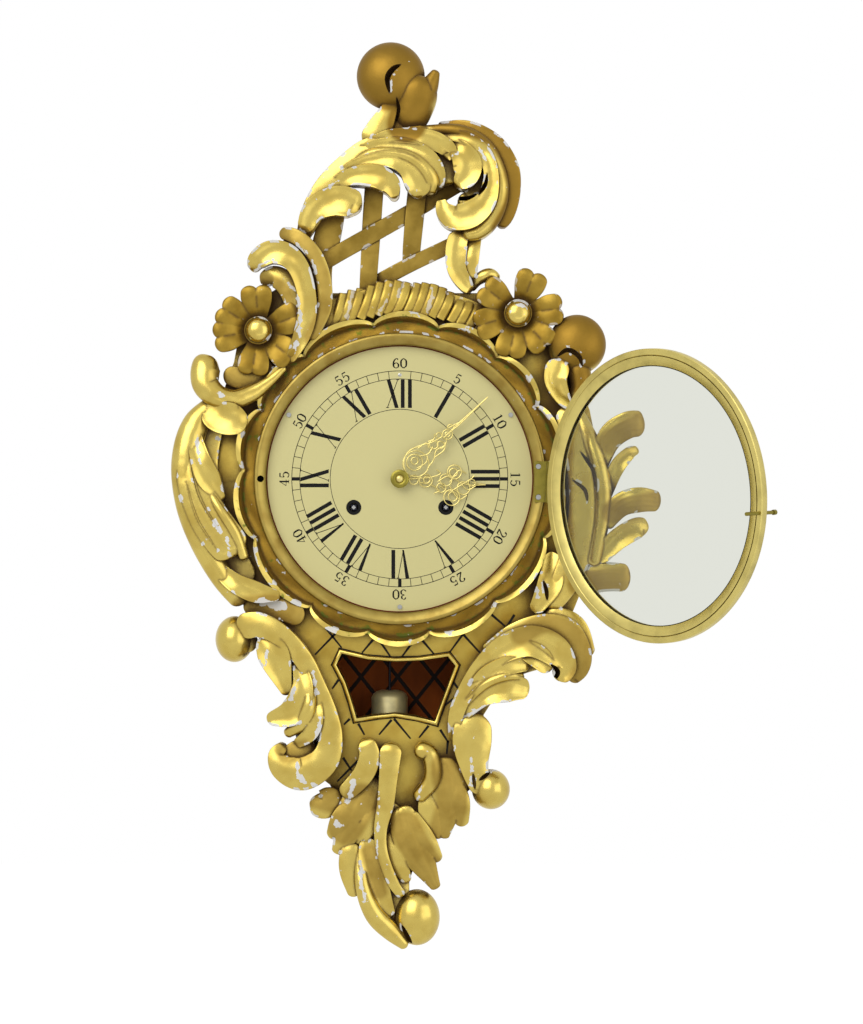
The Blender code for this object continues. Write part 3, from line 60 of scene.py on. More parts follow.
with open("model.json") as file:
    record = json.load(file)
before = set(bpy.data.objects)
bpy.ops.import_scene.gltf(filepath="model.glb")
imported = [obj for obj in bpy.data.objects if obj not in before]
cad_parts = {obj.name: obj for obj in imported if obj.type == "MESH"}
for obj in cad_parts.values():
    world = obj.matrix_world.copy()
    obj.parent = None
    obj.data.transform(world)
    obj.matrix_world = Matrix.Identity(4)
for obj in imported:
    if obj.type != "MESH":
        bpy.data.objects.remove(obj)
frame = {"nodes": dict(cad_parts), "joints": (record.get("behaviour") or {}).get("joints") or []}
CAD_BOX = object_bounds()
MM = 0.001

# Where the pieces of the frame stand, as depths in front of the wall
GROUND = -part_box("dial_plate")[1].y
DIAL_FRONT = -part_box("dial_plate")[0].y
DIAL_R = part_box("dial_plate")[1].x
SEAT_FRONT = -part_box("dial_seat_ring")[0].y
SEAT_OUTER_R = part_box("dial_seat_ring")[1].x
CREST_BACK = -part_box("crest_scroll")[1].y
BOARD_BACK = -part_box("case_board")[1].y
BOARD_FRONT = -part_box("case_board")[0].y
GAP = 0.3 * MM

# The drawing grid of the front: the point (400, 479) is the dial's centre
GRID_CENTRE = (400, 479)
DIAL_UNITS = 133.2
UNIT = DIAL_R / DIAL_UNITS
RELIEF = 1.515 * UNIT

WINDOW_OUTLINE = (
    (342, 654), (368, 660), (396, 662), (422, 661), (448, 657), (455, 666), (446, 690), (440, 706),
    (435, 721),
    (415, 716), (395, 713), (376, 715), (357, 718), (352, 700), (346, 682), (337, 665),
)
TILE_LINES = (
    ((319, 620), (341, 647)), ((341, 628), (316, 654)), ((374, 639), (363, 652)), ((379, 640), (390, 656)),
    ((414, 641), (402, 657)), ((422, 640), (434, 654)), ((468, 628), (451, 651)), ((461, 632), (481, 654)),
    ((492, 615), (506, 627)), ((514, 616), (500, 638)), ((359, 725), (364, 734)), ((391, 721), (380, 734)),
    ((395, 720), (410, 738)), ((428, 727), (420, 737)), ((441, 731), (448, 742)), ((448, 742), (447, 753)),
    ((338, 681), (333, 688)), ((349, 720), (345, 724)), ((454, 683), (460, 691)), ((457, 696), (446, 705)),
    ((344, 759), (351, 770)), ((357, 762), (338, 781)),
)

# Fronds of each carving: section, veins, then (u, v, half width, height in steps) along the spine
CREST_FRONDS = (
    ("plane", 0, ((303, 240, 5, 14), (306, 229, 8, 17), (316, 208, 12, 20), (331, 189, 15, 23),
                  (350, 170, 15, 25),
                  (370, 154, 14, 26), (398, 143, 12, 27), (430, 136, 9, 27))),
    ("scoop", 0, ((304, 232, 7, 19), (314, 212, 11, 23), (333, 203, 14, 27), (350, 204, 14, 28),
                  (361, 209, 9, 26))),
    ("scoop", 0, ((328, 190, 4, 24), (350, 179, 8, 28), (374, 178, 11, 31), (390, 186, 10, 31),
                  (396, 200, 3, 28))),
    ("scoop", 0, ((332, 181, 3, 25), (358, 167, 6, 28), (388, 161, 8, 31), (408, 168, 11, 32),
                  (418, 184, 13, 32),
                  (419, 199, 8, 29))),
    ("dome", 0, ((340, 172, 3, 26), (372, 156, 5, 29), (400, 156, 6, 31), (420, 165, 7, 32),
                 (432, 182, 7, 32),
                 (429, 196, 5, 29))),
    ("scoop", 0, ((350, 156, 4, 26), (378, 148, 6, 29), (404, 149, 8, 31), (427, 159, 8, 32),
                  (438, 175, 7, 31),
                  (438, 190, 5, 28))),
    ("scoop", 0, ((358, 149, 3, 26), (388, 139, 6, 29), (418, 139, 8, 31), (438, 145, 9, 31),
                  (450, 154, 7, 30),
                  (445, 161, 3, 28))),
    ("plane", 0, ((438, 126, 4, 17), (468, 128, 6, 20), (494, 143, 8, 21), (509, 167, 9, 21),
                  (511, 192, 9, 20),
                  (506, 215, 8, 18), (500, 227, 4, 16))),
    ("dome", 0, ((420, 131, 4, 26), (458, 132, 5, 28), (484, 146, 6, 29), (498, 170, 6, 29),
                 (501, 194, 7, 29),
                 (494, 216, 8, 28), (480, 231, 8, 26), (463, 236, 6, 24))),
    ("scoop", 0, ((440, 136, 4, 27), (466, 141, 6, 30), (484, 156, 7, 31), (491, 178, 7, 32),
                  (486, 202, 10, 32),
                  (471, 216, 13, 32), (454, 219, 12, 31), (444, 211, 8, 29), (441, 200, 3, 27))),
    ("scoop", 0, ((448, 143, 4, 27), (459, 152, 10, 31), (467, 166, 14, 32), (465, 179, 12, 31),
                  (456, 188, 5, 29))),
    ("scoop", 0, ((460, 232, 9, 22), (456, 250, 10, 22), (457, 270, 9, 21), (466, 285, 7, 19),
                  (472, 291, 4, 17))),
    ("plane", 0, ((476, 232, 6, 19), (473, 256, 6, 20), (471, 280, 5, 18))),
    ("dome", 0, ((470, 289, 4, 16), (479, 279, 5, 18), (490, 275, 6, 19), (499, 281, 4, 16))),
    ("plane", 0, ((394, 99, 5, 25), (389, 112, 8, 26), (380, 130, 12, 26), (368, 148, 12, 25))),
    ("dome", 0, ((405, 130, 14, 25), (413, 111, 19, 29), (417, 93, 20, 31), (416, 77, 13, 30))),
    ("dome", 0, ((416, 106, 13, 27), (429, 88, 9, 28), (437, 72, 3, 26))),
    ("plane", 0, ((434, 146, 12, 22), (446, 166, 14, 22), (446, 186, 8, 22))),
    ("plane", 0, ((470, 160, 10, 16), (480, 182, 10, 16), (472, 200, 10, 16), (458, 204, 9, 16))),
    ("plane", 0, ((380, 140, 14, 22), (404, 132, 14, 22), (420, 130, 12, 22))),
)
CREST_BALLS = ((391, 77, 34, 34, 16, 17),)
CREST_GROOVES = (
    (((401, 68), (393, 73), (388, 82), (390, 96)), 3, 9), (((397, 100), (399, 112), (396, 124)), 2, 6),
    (((487, 176), (485, 187), (477, 196), (463, 199), (450, 196)), 2.5, 12),
)
CREST_MATT = (
    (((391, 76), (392, 78)), 36), (((407, 126), (416, 96), (436, 72)), 20),
    (((438, 124), (494, 141), (514, 180), (512, 205), (500, 229)), 9),
)
LEFT_SHOULDER_FRONDS = (
    ("plane", 0, ((280, 233, 5, 12), (294, 237, 7, 14), (308, 247, 7, 16), (319, 263, 7, 16),
                  (325, 285, 7, 16),
                  (325, 308, 7, 15), (317, 328, 6, 13), (310, 340, 4, 11))),
    ("scoop", 0, ((253, 272, 4, 14), (258, 262, 9, 17), (272, 254, 11, 20), (288, 257, 11, 21),
                  (300, 270, 10, 21),
                  (307, 292, 9, 20), (308, 316, 9, 18), (302, 338, 8, 15), (290, 362, 4, 11))),
    ("plane", 0, ((261, 283, 6, 8), (274, 277, 10, 10), (288, 286, 11, 11), (296, 306, 10, 11),
                  (294, 330, 8, 9),
                  (292, 346, 5, 7))),
    ("plane", 0, ((282, 244, 9, 8), (298, 252, 10, 9), (311, 272, 9, 9), (316, 300, 9, 8))),
)
LEFT_SHOULDER_MATT = (
    (((278, 232), (308, 245), (326, 285), (325, 310), (311, 338)), 7),
    (((262, 288), (280, 300), (286, 350)), 15),
)
LEFT_HOOK_FRONDS = (
    ("dome", 0, ((213, 357, 11, 14), (207, 368, 14, 18), (207, 385, 13, 20), (219, 397, 11, 20),
                 (236, 400, 9, 18),
                 (254, 393, 8, 15), (271, 381, 5, 12), (286, 367, 3, 10))),
    ("plane", 0, ((224, 374, 8, 7), (246, 378, 11, 7), (274, 367, 9, 7))),
)
LEFT_HOOK_MATT = ((((226, 374), (246, 376), (276, 362)), 10),)
RIGHT_BUD_FRONDS = (
    ("scoop", 0, ((560, 360, 12, 15), (555, 379, 11, 17), (561, 396, 8, 15), (570, 408, 4, 12))),
    ("dome", 0, ((577, 364, 11, 14), (581, 385, 10, 13), (574, 404, 6, 11))),
)
RIGHT_BUD_BALLS = ((577, 345, 29, 30, 4, 13),)
RIGHT_BUD_GROOVES = ((((557, 357), (567, 351), (578, 357), (582, 367)), 2.6, 6),)
RIGHT_BUD_MATT = ((((578, 338), (580, 340)), 30), (((578, 366), (580, 384)), 12))
LEFT_LEAF_FRONDS = (
    ("dome", 0, ((216, 402, 8, 12), (196, 426, 13, 16), (187, 462, 14, 18), (190, 503, 13, 18),
                 (203, 541, 12, 17),
                 (223, 577, 11, 15), (244, 604, 9, 11))),
    ("scoop", 0, ((206, 408, 10, 15), (220, 417, 15, 20), (236, 420, 15, 21), (249, 419, 9, 18))),
    ("scoop", 0, ((196, 432, 5, 17), (201, 456, 9, 20), (211, 480, 11, 21), (224, 500, 3, 17))),
    ("plane", 1, ((188, 450, 9, 17), (195, 485, 15, 19), (211, 518, 19, 20), (229, 543, 19, 20),
                  (238, 555, 15, 19))),
    ("dome", 0, ((200, 476, 3, 18), (220, 507, 4, 21), (237, 534, 5, 21), (246, 560, 4, 18))),
    ("scoop", 0, ((216, 566, 6, 15), (236, 582, 9, 18), (258, 592, 10, 17), (281, 596, 4, 12))),
    ("plane", 0, ((244, 607, 7, 8), (276, 606, 12, 8), (304, 619, 9, 8))),
    ("plane", 0, ((210, 420, 14, 5), (204, 470, 14, 5), (216, 530, 16, 5), (248, 585, 14, 5))),
)
LEFT_LEAF_GROOVES = (
    (((193, 468), (203, 500), (222, 532)), 1.5, 0.9), (((188, 482), (199, 518), (219, 550)), 1.3, 0.7),
)
LEFT_LEAF_MATT = ((((244, 608), (276, 606), (304, 619)), 12),)
RIGHT_LEAF_FRONDS = (
    ("plane", 0, ((562, 408, 8, 10), (576, 444, 13, 13), (584, 490, 15, 14), (581, 535, 15, 14),
                  (568, 575, 14, 13),
                  (548, 608, 10, 11))),
    ("dome", 0, ((576, 410, 6, 13), (592, 446, 8, 16), (602, 484, 8, 18), (601, 522, 7, 17),
                 (592, 566, 7, 14))),
    ("plane", 2, ((598, 470, 7, 13), (608, 440, 12, 16), (626, 426, 13, 17), (644, 424, 12, 15))),
    ("scoop", 0, ((606, 498, 4, 13), (615, 470, 7, 16), (628, 454, 6, 16), (638, 450, 3, 13))),
    ("plane", 2, ((602, 526, 8, 14), (619, 506, 11, 17), (638, 500, 12, 18), (660, 502, 9, 15))),
    ("scoop", 0, ((596, 560, 8, 13), (616, 540, 10, 16), (636, 528, 10, 16), (648, 526, 6, 13))),
    ("plane", 3, ((578, 584, 12, 11), (604, 577, 14, 13), (630, 578, 13, 12))),
    ("scoop", 0, ((552, 552, 6, 11), (550, 582, 12, 14), (534, 612, 6, 10))),
)
RIGHT_LEAF_GROOVES = (
    (((580, 452), (592, 470), (596, 492)), 2.2, 4), (((572, 480), (584, 490), (587, 502)), 2, 3),
    (((543, 580), (546, 590), (547, 600)), 2.2, 5),
)
RIGHT_LEAF_MATT = (
    (((610, 442), (644, 424)), 13), (((612, 512), (660, 502)), 12), (((580, 584), (632, 578)), 13),
)
LOWER_LEFT_FRONDS = (
    ("plane", 0, ((238, 628, 13, 19), (260, 624, 12, 22), (284, 636, 10, 23), (304, 658, 9, 22),
                  (318, 684, 8, 21),
                  (328, 710, 9, 21), (332, 736, 11, 21), (325, 759, 14, 21), (304, 772, 16, 21),
                  (285, 766, 13, 20),
                  (278, 753, 8, 18), (286, 744, 4, 15))),
    ("scoop", 0, ((264, 634, 9, 21), (276, 656, 15, 24), (289, 694, 4, 19))),
    ("scoop", 0, ((299, 658, 5, 22), (304, 686, 10, 25), (294, 710, 13, 24), (268, 719, 5, 18))),
    ("dome", 0, ((306, 670, 4, 22), (311, 698, 6, 25), (304, 720, 7, 24), (286, 734, 4, 18))),
    ("scoop", 0, ((314, 688, 4, 21), (318, 712, 6, 23), (312, 731, 7, 22), (296, 744, 4, 16))),
    ("plane", 0, ((284, 757, 9, 14), (300, 752, 13, 15), (316, 744, 9, 14))),
    ("plane", 0, ((262, 636, 8, 8), (288, 664, 9, 8), (306, 704, 10, 8), (310, 745, 14, 8))),
    ("plane", 0, ((240, 640, 10, 12), (258, 644, 9, 12))),
)
LOWER_LEFT_BALLS = ((235, 639, 19, 23, 5, 15),)
LOWER_LEFT_MATT = ((((288, 752), (306, 748)), 10),)
LOWER_RIGHT_FRONDS = (
    ("scoop", 0, ((453, 740, 4, 14), (456, 714, 7, 17), (465, 692, 8, 20), (481, 668, 10, 22),
                  (504, 648, 13, 23),
                  (530, 640, 15, 24), (553, 649, 15, 24), (564, 666, 11, 23), (556, 679, 8, 21))),
    ("scoop", 0, ((520, 646, 9, 21), (538, 656, 11, 23), (550, 670, 7, 21))),
    ("plane", 0, ((484, 650, 4, 15), (512, 630, 6, 17), (541, 623, 9, 18), (566, 630, 12, 18),
                  (579, 651, 11, 17),
                  (579, 668, 9, 15), (570, 681, 5, 13))),
    ("plane", 0, ((546, 612, 8, 10), (574, 626, 11, 12), (590, 656, 6, 10))),
    ("scoop", 0, ((468, 696, 5, 20), (484, 676, 8, 23), (506, 665, 9, 24), (529, 664, 5, 20))),
    ("dome", 0, ((463, 706, 3, 20), (484, 684, 4, 23), (506, 675, 4, 24), (524, 676, 3, 20))),
    ("scoop", 1, ((462, 714, 6, 19), (484, 693, 11, 22), (508, 686, 14, 23), (529, 689, 8, 19))),
    ("plane", 0, ((474, 712, 17, 15), (472, 741, 19, 16), (475, 769, 13, 15), (484, 792, 10, 15))),
    ("plane", 0, ((480, 690, 10, 9), (510, 668, 10, 9), (546, 656, 10, 9))),
)
LOWER_RIGHT_BALLS = ((491, 789, 19, 20, 4, 14),)
LOWER_RIGHT_GROOVES = (
    (((550, 663), (557, 671), (552, 681)), 2.5, 10), (((473, 772), (475, 788)), 2, 3),
    (((479, 779), (490, 771)), 2.2, 5),
)
LOWER_RIGHT_MATT = ((((520, 634), (548, 622), (578, 638), (584, 660), (574, 682)), 10),)
DROP_FRONDS = (
    ("plane", 0, ((392, 742, 11, 18), (389, 774, 9, 18), (386, 802, 8, 17), (381, 828, 6, 16),
                  (383, 852, 5, 16),
                  (393, 880, 5, 15), (403, 895, 4, 13))),
    ("plane", 0, ((365, 738, 8, 16), (370, 755, 10, 17), (363, 774, 10, 16), (343, 795, 8, 13))),
    ("plane", 1, ((374, 776, 14, 9), (358, 812, 20, 11), (336, 853, 4, 8))),
    ("plane", 0, ((360, 800, 10, 9), (343, 818, 11, 11), (331, 838, 5, 8))),
    ("plane", 0, ((374, 796, 8, 9), (368, 824, 9, 11), (358, 844, 5, 8))),
    ("plane", 0, ((340, 792, 12, 7), (324, 804, 14, 8), (310, 802, 7, 6))),
    ("plane", 0, ((352, 842, 10, 9), (350, 868, 10, 10), (355, 896, 5, 9))),
    ("scoop", 1, ((367, 838, 7, 10), (373, 868, 12, 13), (389, 916, 7, 11))),
    ("dome", 0, ((360, 846, 5, 12), (363, 884, 7, 15), (374, 912, 9, 16), (390, 929, 9, 15),
                 (407, 946, 4, 12))),
    ("dome", 0, ((415, 748, 9, 15), (430, 754, 8, 16), (432, 778, 8, 16), (416, 799, 6, 13))),
    ("plane", 1, ((440, 758, 10, 9), (449, 788, 18, 11), (444, 838, 4, 8))),
    ("plane", 0, ((446, 768, 8, 9), (460, 798, 9, 11), (462, 826, 6, 8))),
    ("plane", 0, ((432, 786, 8, 8), (430, 810, 11, 10), (440, 838, 4, 8))),
    ("plane", 1, ((400, 806, 10, 10), (413, 842, 18, 12), (437, 888, 4, 9))),
    ("plane", 0, ((408, 812, 8, 10), (426, 838, 9, 12), (439, 861, 5, 9))),
    ("plane", 0, ((394, 830, 8, 9), (398, 858, 10, 11), (408, 882, 4, 8))),
    ("plane", 0, ((384, 800, 20, 6), (384, 850, 26, 6), (394, 900, 16, 7), (404, 918, 14, 7))),
)
DROP_BALLS = ((417, 917, 23, 28, 3, 14),)
DROP_GROOVES = ((((402, 923), (407, 933), (412, 942)), 2.4, 6),)
DROP_MATT = (
    (((362, 800), (346, 826)), 18), (((312, 792), (330, 798)), 14),
    (((446, 766), (452, 800), (446, 826)), 16),
    (((406, 826), (416, 846), (434, 876)), 16), (((370, 850), (380, 890)), 8),
)
# Long losses of leaf: carving, then routes and half widths
GESSO = {
    "crest_scroll": ((((479, 150), (486, 163)), 1.6), (((331, 188), (340, 182)), 1.2)),
    "left_shoulder_scroll": ((((285, 280), (296, 292), (301, 318), (297, 343), (289, 362)), 1.7),
                             (((294, 242), (309, 256), (317, 274)), 1.3),
                             (((254, 274), (262, 266), (274, 262)), 1.2)),
    "left_hook_scroll": ((((221, 394), (223, 396)), 2.4),),
    "left_side_leaf": ((((200, 432), (199, 452), (202, 464)), 1.6), (((229, 538), (231, 556)), 1.7),
                       (((216, 438), (232, 442), (244, 436)), 1.2), (((264, 602), (284, 606)), 4.5)),
    "right_side_leaf": ((((536, 586), (537, 598)), 1.2),),
    "lower_left_scroll": ((((298, 762), (301, 776), (318, 784)), 2.2), (((322, 716), (317, 740)), 2.4),
                          (((292, 698), (302, 672)), 1.6), (((315, 672), (317, 692)), 1.7),
                          (((268, 650), (267, 664)), 1.4)),
    "lower_right_scroll": ((((462, 718), (476, 709), (490, 705)), 1.4), (((471, 757), (471, 784)), 1.3),
                           (((487, 771), (497, 769)), 1.5)),
    "fluted_band": ((((353, 285), (351, 300), (347, 318)), 1.6), (((391, 285), (388, 298), (380, 314)), 1.3),
                    (((404, 282), (398, 297)), 1.8), (((433, 288), (431, 300), (427, 311)), 1.5),
                    (((447, 287), (447, 291)), 1.4)),
    "drop_leaf": ((((354, 781), (348, 800)), 3), (((337, 822), (342, 825)), 3),
                  (((380, 799), (378, 833), (377, 856)), 1.1),
                  (((361, 859), (362, 880), (365, 899)), 1.6), (((422, 783), (418, 798)), 1.5)),
}
FLOWERS = {
    "left_flower": ((259, 331), (93, 148, 190, 262, 320, 20)),
    "right_flower": ((518, 314), (68, 142, 198, 258, 311, 6)),
}
# Half a petal: distance from the centre, distance from the petal's own axis, half width, height
PETAL_HALF = ((8, 2, 5, 6), (20, 4, 7, 8), (32, 6.5, 8.5, 11.5), (45, 7, 7.5, 12))
TRELLIS_BARS = (
    ((375, 176, 9, 6), (372, 220, 9, 5), (370, 255, 8.5, 7), (368, 288, 8, 7.5), (368, 298, 8, 7)),
    ((306, 272, 8, 6), (340, 252, 8, 7), (372, 234, 8, 7.5), (412, 211, 8, 5), (450, 188, 8, 5),
     (474, 174, 8, 5)),
    ((418, 184, 9, 6), (415, 214, 9, 7.5), (412, 246, 8.5, 6), (411, 264, 8, 5)),
    ((370, 285, 6, 5), (384, 278, 7, 5), (411, 264, 7, 7.5), (440, 250, 7, 6), (474, 234, 7, 6)),
    ((336, 204, 10, 5), (327, 238, 13, 6), (321, 266, 11, 6.5), (323, 300, 9, 6)),
)

STATIONS_PER_SPAN = 10
SECTION_STEPS = 16
STATION_STEP = 1.5
TIP_STEPS = 9
UNDERCUT = 0.93
SPREAD = 0.35 * MM
SUNK_WIDTH = 6
SUNK_STEPS = 4
VEIN_DEPTH = {"plane": 0.035, "flat": 0.05, "scoop": 0.03, "dome": 0.035}
TIGHTEST = 0.9
GROOVE_SIDES = 12
CREASE = math.radians(28)
WORN_REACH = 2.4 * MM
# How far dirt and painted shade reach from a crease
DIRT_AND_SHADE_REACH = 2.2 * MM
LATCH_X = -91.6 * MM
MATT_FADE = 3 * MM
REAR_BAND = 0.2 * MM
# Reach of the ambient occlusion that paints shade into the gilding
PAINTED_SHADE_DEPTH = 12 * MM
SEAT_SHOWN = 4 * MM
LOST_FADE = 3.2 * MM
RIBBON_UNITS = 167
FLUTES = 5
FLUTE_GROUPS = ((316, 360, 8), (362, 406, 8.6), (408, 450, 8.2), (452, 496, 7.6))


def linear(hex_colour):
    """An sRGB hex colour as linear red, green and blue."""
    channels = [int(hex_colour[i:i + 2], 16) / 255 for i in (0, 2, 4)]
    return tuple(c / 12.92 if c <= 0.04045 else ((c + 0.055) / 1.055) ** 2.4 for c in channels)


def length(name, description, default):
    return FloatProperty(name=name, description=description, default=default, unit="LENGTH", precision=5)


def colour(name, description, default):
    return FloatVectorProperty(name=name, description=description, default=linear(default), subtype="COLOR",
                               min=0, max=1)


class ClockSizes(bpy.types.PropertyGroup):
    """Sizes of the looks."""

    lip: length("Lip", "Eased edge of a carved frond", 0.0005)
    edge: length("Edge", "Rounding of turned and sawn edges", 0.0006)
    print_height: length("Print", "How far the dial's print stands proud", 0.00006)
    wire: length("Hand wire", "Thickness of the hands' filigree", 0.0008)
    ribbon_lobes: IntProperty(name="Ribbon lobes", description="Folds of the ribbon round the dial",
                              default=14)
    camera_distance: length("Camera distance", "From the dial's face to the camera", 2.4)


class ClockColours(bpy.types.PropertyGroup):
    """Colours of the looks."""

    gold: colour("Burnished gold", "Leaf where it is polished", "C5AF5C")
    ochre: colour("Gold in shade", "Leaf where it is worn thin", "AB9040")
    matt: colour("Matt gold", "Leaf that is left unpolished", "A28942")
    dull: colour("Matt gold in shade", "Unpolished leaf where it is worn thin", "785E22")
    # Also the colour that the painted shade in creases and gaps darkens to
    crevice: colour("Crevice", "Dirt and bole in the hollows", "4E3406")
    gesso: colour("Gesso", "White ground where the leaf is rubbed away", "DCDCDC")
    patina: colour("Patina", "Green specks in the ribbon's folds", "5C6A1E")
    dial: colour("Dial", "Cream paint of the dial", "D2C98B")
    # Also the black of the painted shade in the latch hole and the winding holes
    ink_and_shade: colour("Ink", "Figures and lines of the dial", "080706")
    brass: colour("Brass", "Bezel and movement", "CCBC70")
    steel: colour("Steel", "Arbors, screws and pins", "A0A09C")
    panel: colour("Panel", "Board behind the pendulum", "C05E12")
    walnut: colour("Case wood", "Stained wood of the box", "4A2A12")
    glass: colour("Glass", "Tint of the door's glass", "EFF0EB")


# Nodes that the materials use most, with their settings
PLUS, LESS, TIMES, OVER, MOST, LEAST, FRACTION, MAGNITUDE = [
    ("ShaderNodeMath", {"operation": name})
    for name in ("ADD", "SUBTRACT", "MULTIPLY", "DIVIDE", "MAXIMUM", "MINIMUM", "FRACT", "ABSOLUTE")]
MIX = ("ShaderNodeMix", {"data_type": "RGBA"})
RAMP = ("ShaderNodeMapRange", {"interpolation_type": "SMOOTHSTEP"})


def add(tree, kind, *values, out=None, **settings):
    """Adds a node with its settings, fills its open inputs in order or by name, and gives one of its outputs."""
    name, fixed = kind if isinstance(kind, tuple) else (kind, {})
    node = tree.nodes.new(name)
    for key, value in {**fixed, **settings}.items():
        setattr(node, key, value)
    inputs = [socket for socket in node.inputs if socket.enabled]
    named = values[0] if values and isinstance(values[0], dict) else dict(enumerate(values))
    for key, value in named.items():
        socket = inputs[key] if isinstance(key, int) else node.inputs[key]
        if isinstance(value, bpy.types.NodeSocket):
            tree.links.new(value, socket)
        elif socket.type == "RGBA":
            socket.default_value = (*value, 1.0)[:4]
        else:
            socket.default_value = value
    if out is None:
        return next((socket for socket in node.outputs if socket.enabled), None)
    return node.outputs[out]


def mottle(tree, size, detail=3.0, stretch=(1, 1, 1)):
    """Noise whose patches are about a size across, in metres."""
    place = add(tree, "ShaderNodeTexCoord", out="Object")
    place = add(tree, "ShaderNodeMapping", {"Vector": place, "Scale": stretch}, out=0)
    return add(tree, "ShaderNodeTexNoise", {"Vector": place, "Scale": 1 / size, "Detail": detail}, out="Fac")


def fresh_material(name):
    """A new material and its tree and main shader."""
    material = bpy.data.materials.new(name)
    material.use_nodes = True
    return material, material.node_tree, material.node_tree.nodes["Principled BSDF"]


def set_inputs(tree, shader, **inputs):
    """Sets or links the shader's inputs, named with underscores for spaces."""
    for key, value in inputs.items():
        socket = shader.inputs[key.replace("_", " ")]
        if isinstance(value, bpy.types.NodeSocket):
            tree.links.new(value, socket)
        else:
            socket.default_value = value


def gilding(name, leaf, thin_leaf, roughness, wear, specks=0.0, matt_leaf=None):
    """Gold leaf over bole and gesso: bright on the swells, brown in the hollows from dirt and bole and from
    painted shade, rubbed white on some edges.
    """
    colours = bpy.context.scene.clock_colours
    material, tree, shader = fresh_material(name)
    ridge = add(tree, "ShaderNodeAttribute", attribute_name="ridge", out="Fac")
    hollow = add(tree, "ShaderNodeAttribute", attribute_name="hollow", out="Fac")
    patches = mottle(tree, 14 * MM)
    grain = mottle(tree, 1.6 * MM)
    rubbed = mottle(tree, 9 * MM, 4.0)
    matt = add(tree, "ShaderNodeAttribute", attribute_name="matt", out="Fac")
    thin = add(tree, RAMP, patches, 0.35, 0.75)
    base = add(tree, MIX, add(tree, TIMES, thin, 0.6), leaf, thin_leaf)
    worn_matt = add(tree, MIX, add(tree, TIMES, thin, 0.45), matt_leaf or colours.matt, colours.dull)
    base = add(tree, MIX, matt, base, worn_matt)
    # Painted shade: ambient occlusion and nearness to creases darken the leaf towards the crevice colour and dull
    # its shine; the hollows also hold real dirt and bole.
    open_sky = add(tree, "ShaderNodeAmbientOcclusion", {"Distance": PAINTED_SHADE_DEPTH}, samples=6, out="AO")
    painted_shade = add(tree, RAMP, open_sky, 0.76, 0.26)
    crease_dirt_and_shade = add(tree, MOST, painted_shade, add(tree, TIMES, hollow, 0.5))
    dirt_and_shade = add(tree, RAMP, add(tree, PLUS, crease_dirt_and_shade, add(tree, TIMES, grain, 0.3)), 0.25, 1.0)
    base = add(tree, MIX, dirt_and_shade, base, colours.crevice)
    if specks:
        damp = add(tree, PLUS, add(tree, TIMES, hollow, 0.14), mottle(tree, 5 * MM))
        spots = add(tree, RAMP, damp, 0.62, 0.72)
        base = add(tree, MIX, add(tree, TIMES, spots, specks), base, colours.patina)
    edge = add(tree, TIMES, ridge, add(tree, RAMP, rubbed, 0.54, 0.64))
    lost = add(tree, "ShaderNodeAttribute", attribute_name="lost", out="Fac")
    nibbled = add(tree, TIMES, add(tree, LESS, mottle(tree, 4 * MM, 3.0), 0.5), 2.4)
    ragged = add(tree, RAMP, add(tree, PLUS, lost, nibbled), 0.55, 0.62)
    bare = add(tree, TIMES, add(tree, MOST, add(tree, RAMP, edge, 0.3, 0.42), ragged), wear, use_clamp=True)
    base = add(tree, MIX, bare, base, colours.gesso)
    rear = add(tree, RAMP, add(tree, "ShaderNodeAttribute", attribute_name="rear", out="Fac"), 0.88, 0.96)
    grown = mottle(tree, 5 * MM, 5.0, (1, 1, 0.08))
    wood = add(tree, MIX, add(tree, RAMP, grown, 0.3, 0.7), linear("9A7A4E"), linear("6E5230"))
    base = add(tree, MIX, rear, base, wood)
    metal = add(tree, LESS, 1.0, add(tree, MOST, bare, add(tree, TIMES, dirt_and_shade, 0.75)), use_clamp=True)
    metal = add(tree, LESS, metal, rear, use_clamp=True)
    rough = add(tree, PLUS, roughness, add(tree, TIMES, add(tree, PLUS, bare, dirt_and_shade), 0.35), use_clamp=True)
    rough = add(tree, PLUS, rough, add(tree, TIMES, matt, 0.22), use_clamp=True)
    rough = add(tree, PLUS, rough, add(tree, TIMES, rear, 0.4), use_clamp=True)
    rough = add(tree, PLUS, rough, add(tree, TIMES, add(tree, LESS, patches, 0.5), 0.16), use_clamp=True)
    waves = add(tree, "ShaderNodeBump", {"Height": mottle(tree, 11 * MM, 1.0), "Strength": 0.16,
                                         "Distance": 3 * MM}, out=0)
    tooth = add(tree, TIMES, grain, add(tree, PLUS, 0.12, add(tree, TIMES, matt, 0.6)))
    bump = add(tree, "ShaderNodeBump", {"Height": tooth, "Strength": 0.2, "Distance": 0.4 * MM,
                                        "Normal": waves}, out=0)
    set_inputs(tree, shader, Base_Color=base, Metallic=metal, Roughness=rough, Normal=bump)
    return material


def burnished():
    """Water gilding on gesso, polished."""
    colours = bpy.context.scene.clock_colours
    return shared("burnished_gilding", lambda n: gilding(n, colours.gold, colours.ochre, 0.27, 0.9))


def umber_gilding():
    """Polished gilding whose matt parts are toned down to umber."""
    colours = bpy.context.scene.clock_colours
    return shared("umber_gilding", lambda n: gilding(
        n, colours.gold, colours.ochre, 0.27, 0.9, 0.0, linear("876928")))


def petal_gilding():
    """Dull gilding of the flowers' petals."""
    return shared("petal_gilding", lambda n: gilding(n, linear("947930"), linear("664C14"), 0.42, 0.35))


def seat_gilding():
    """Deep yellow gilding of the ring that the door closes on."""
    return shared("seat_gilding", lambda n: gilding(n, linear("9C8846"), linear("785C22"), 0.4, 0.5))


def tile_gilding():
    """Gilding on the flat board between the carvings."""
    return shared("tile_gilding", lambda n: gilding(n, linear("B29A48"), linear("92752C"), 0.36, 0.4))


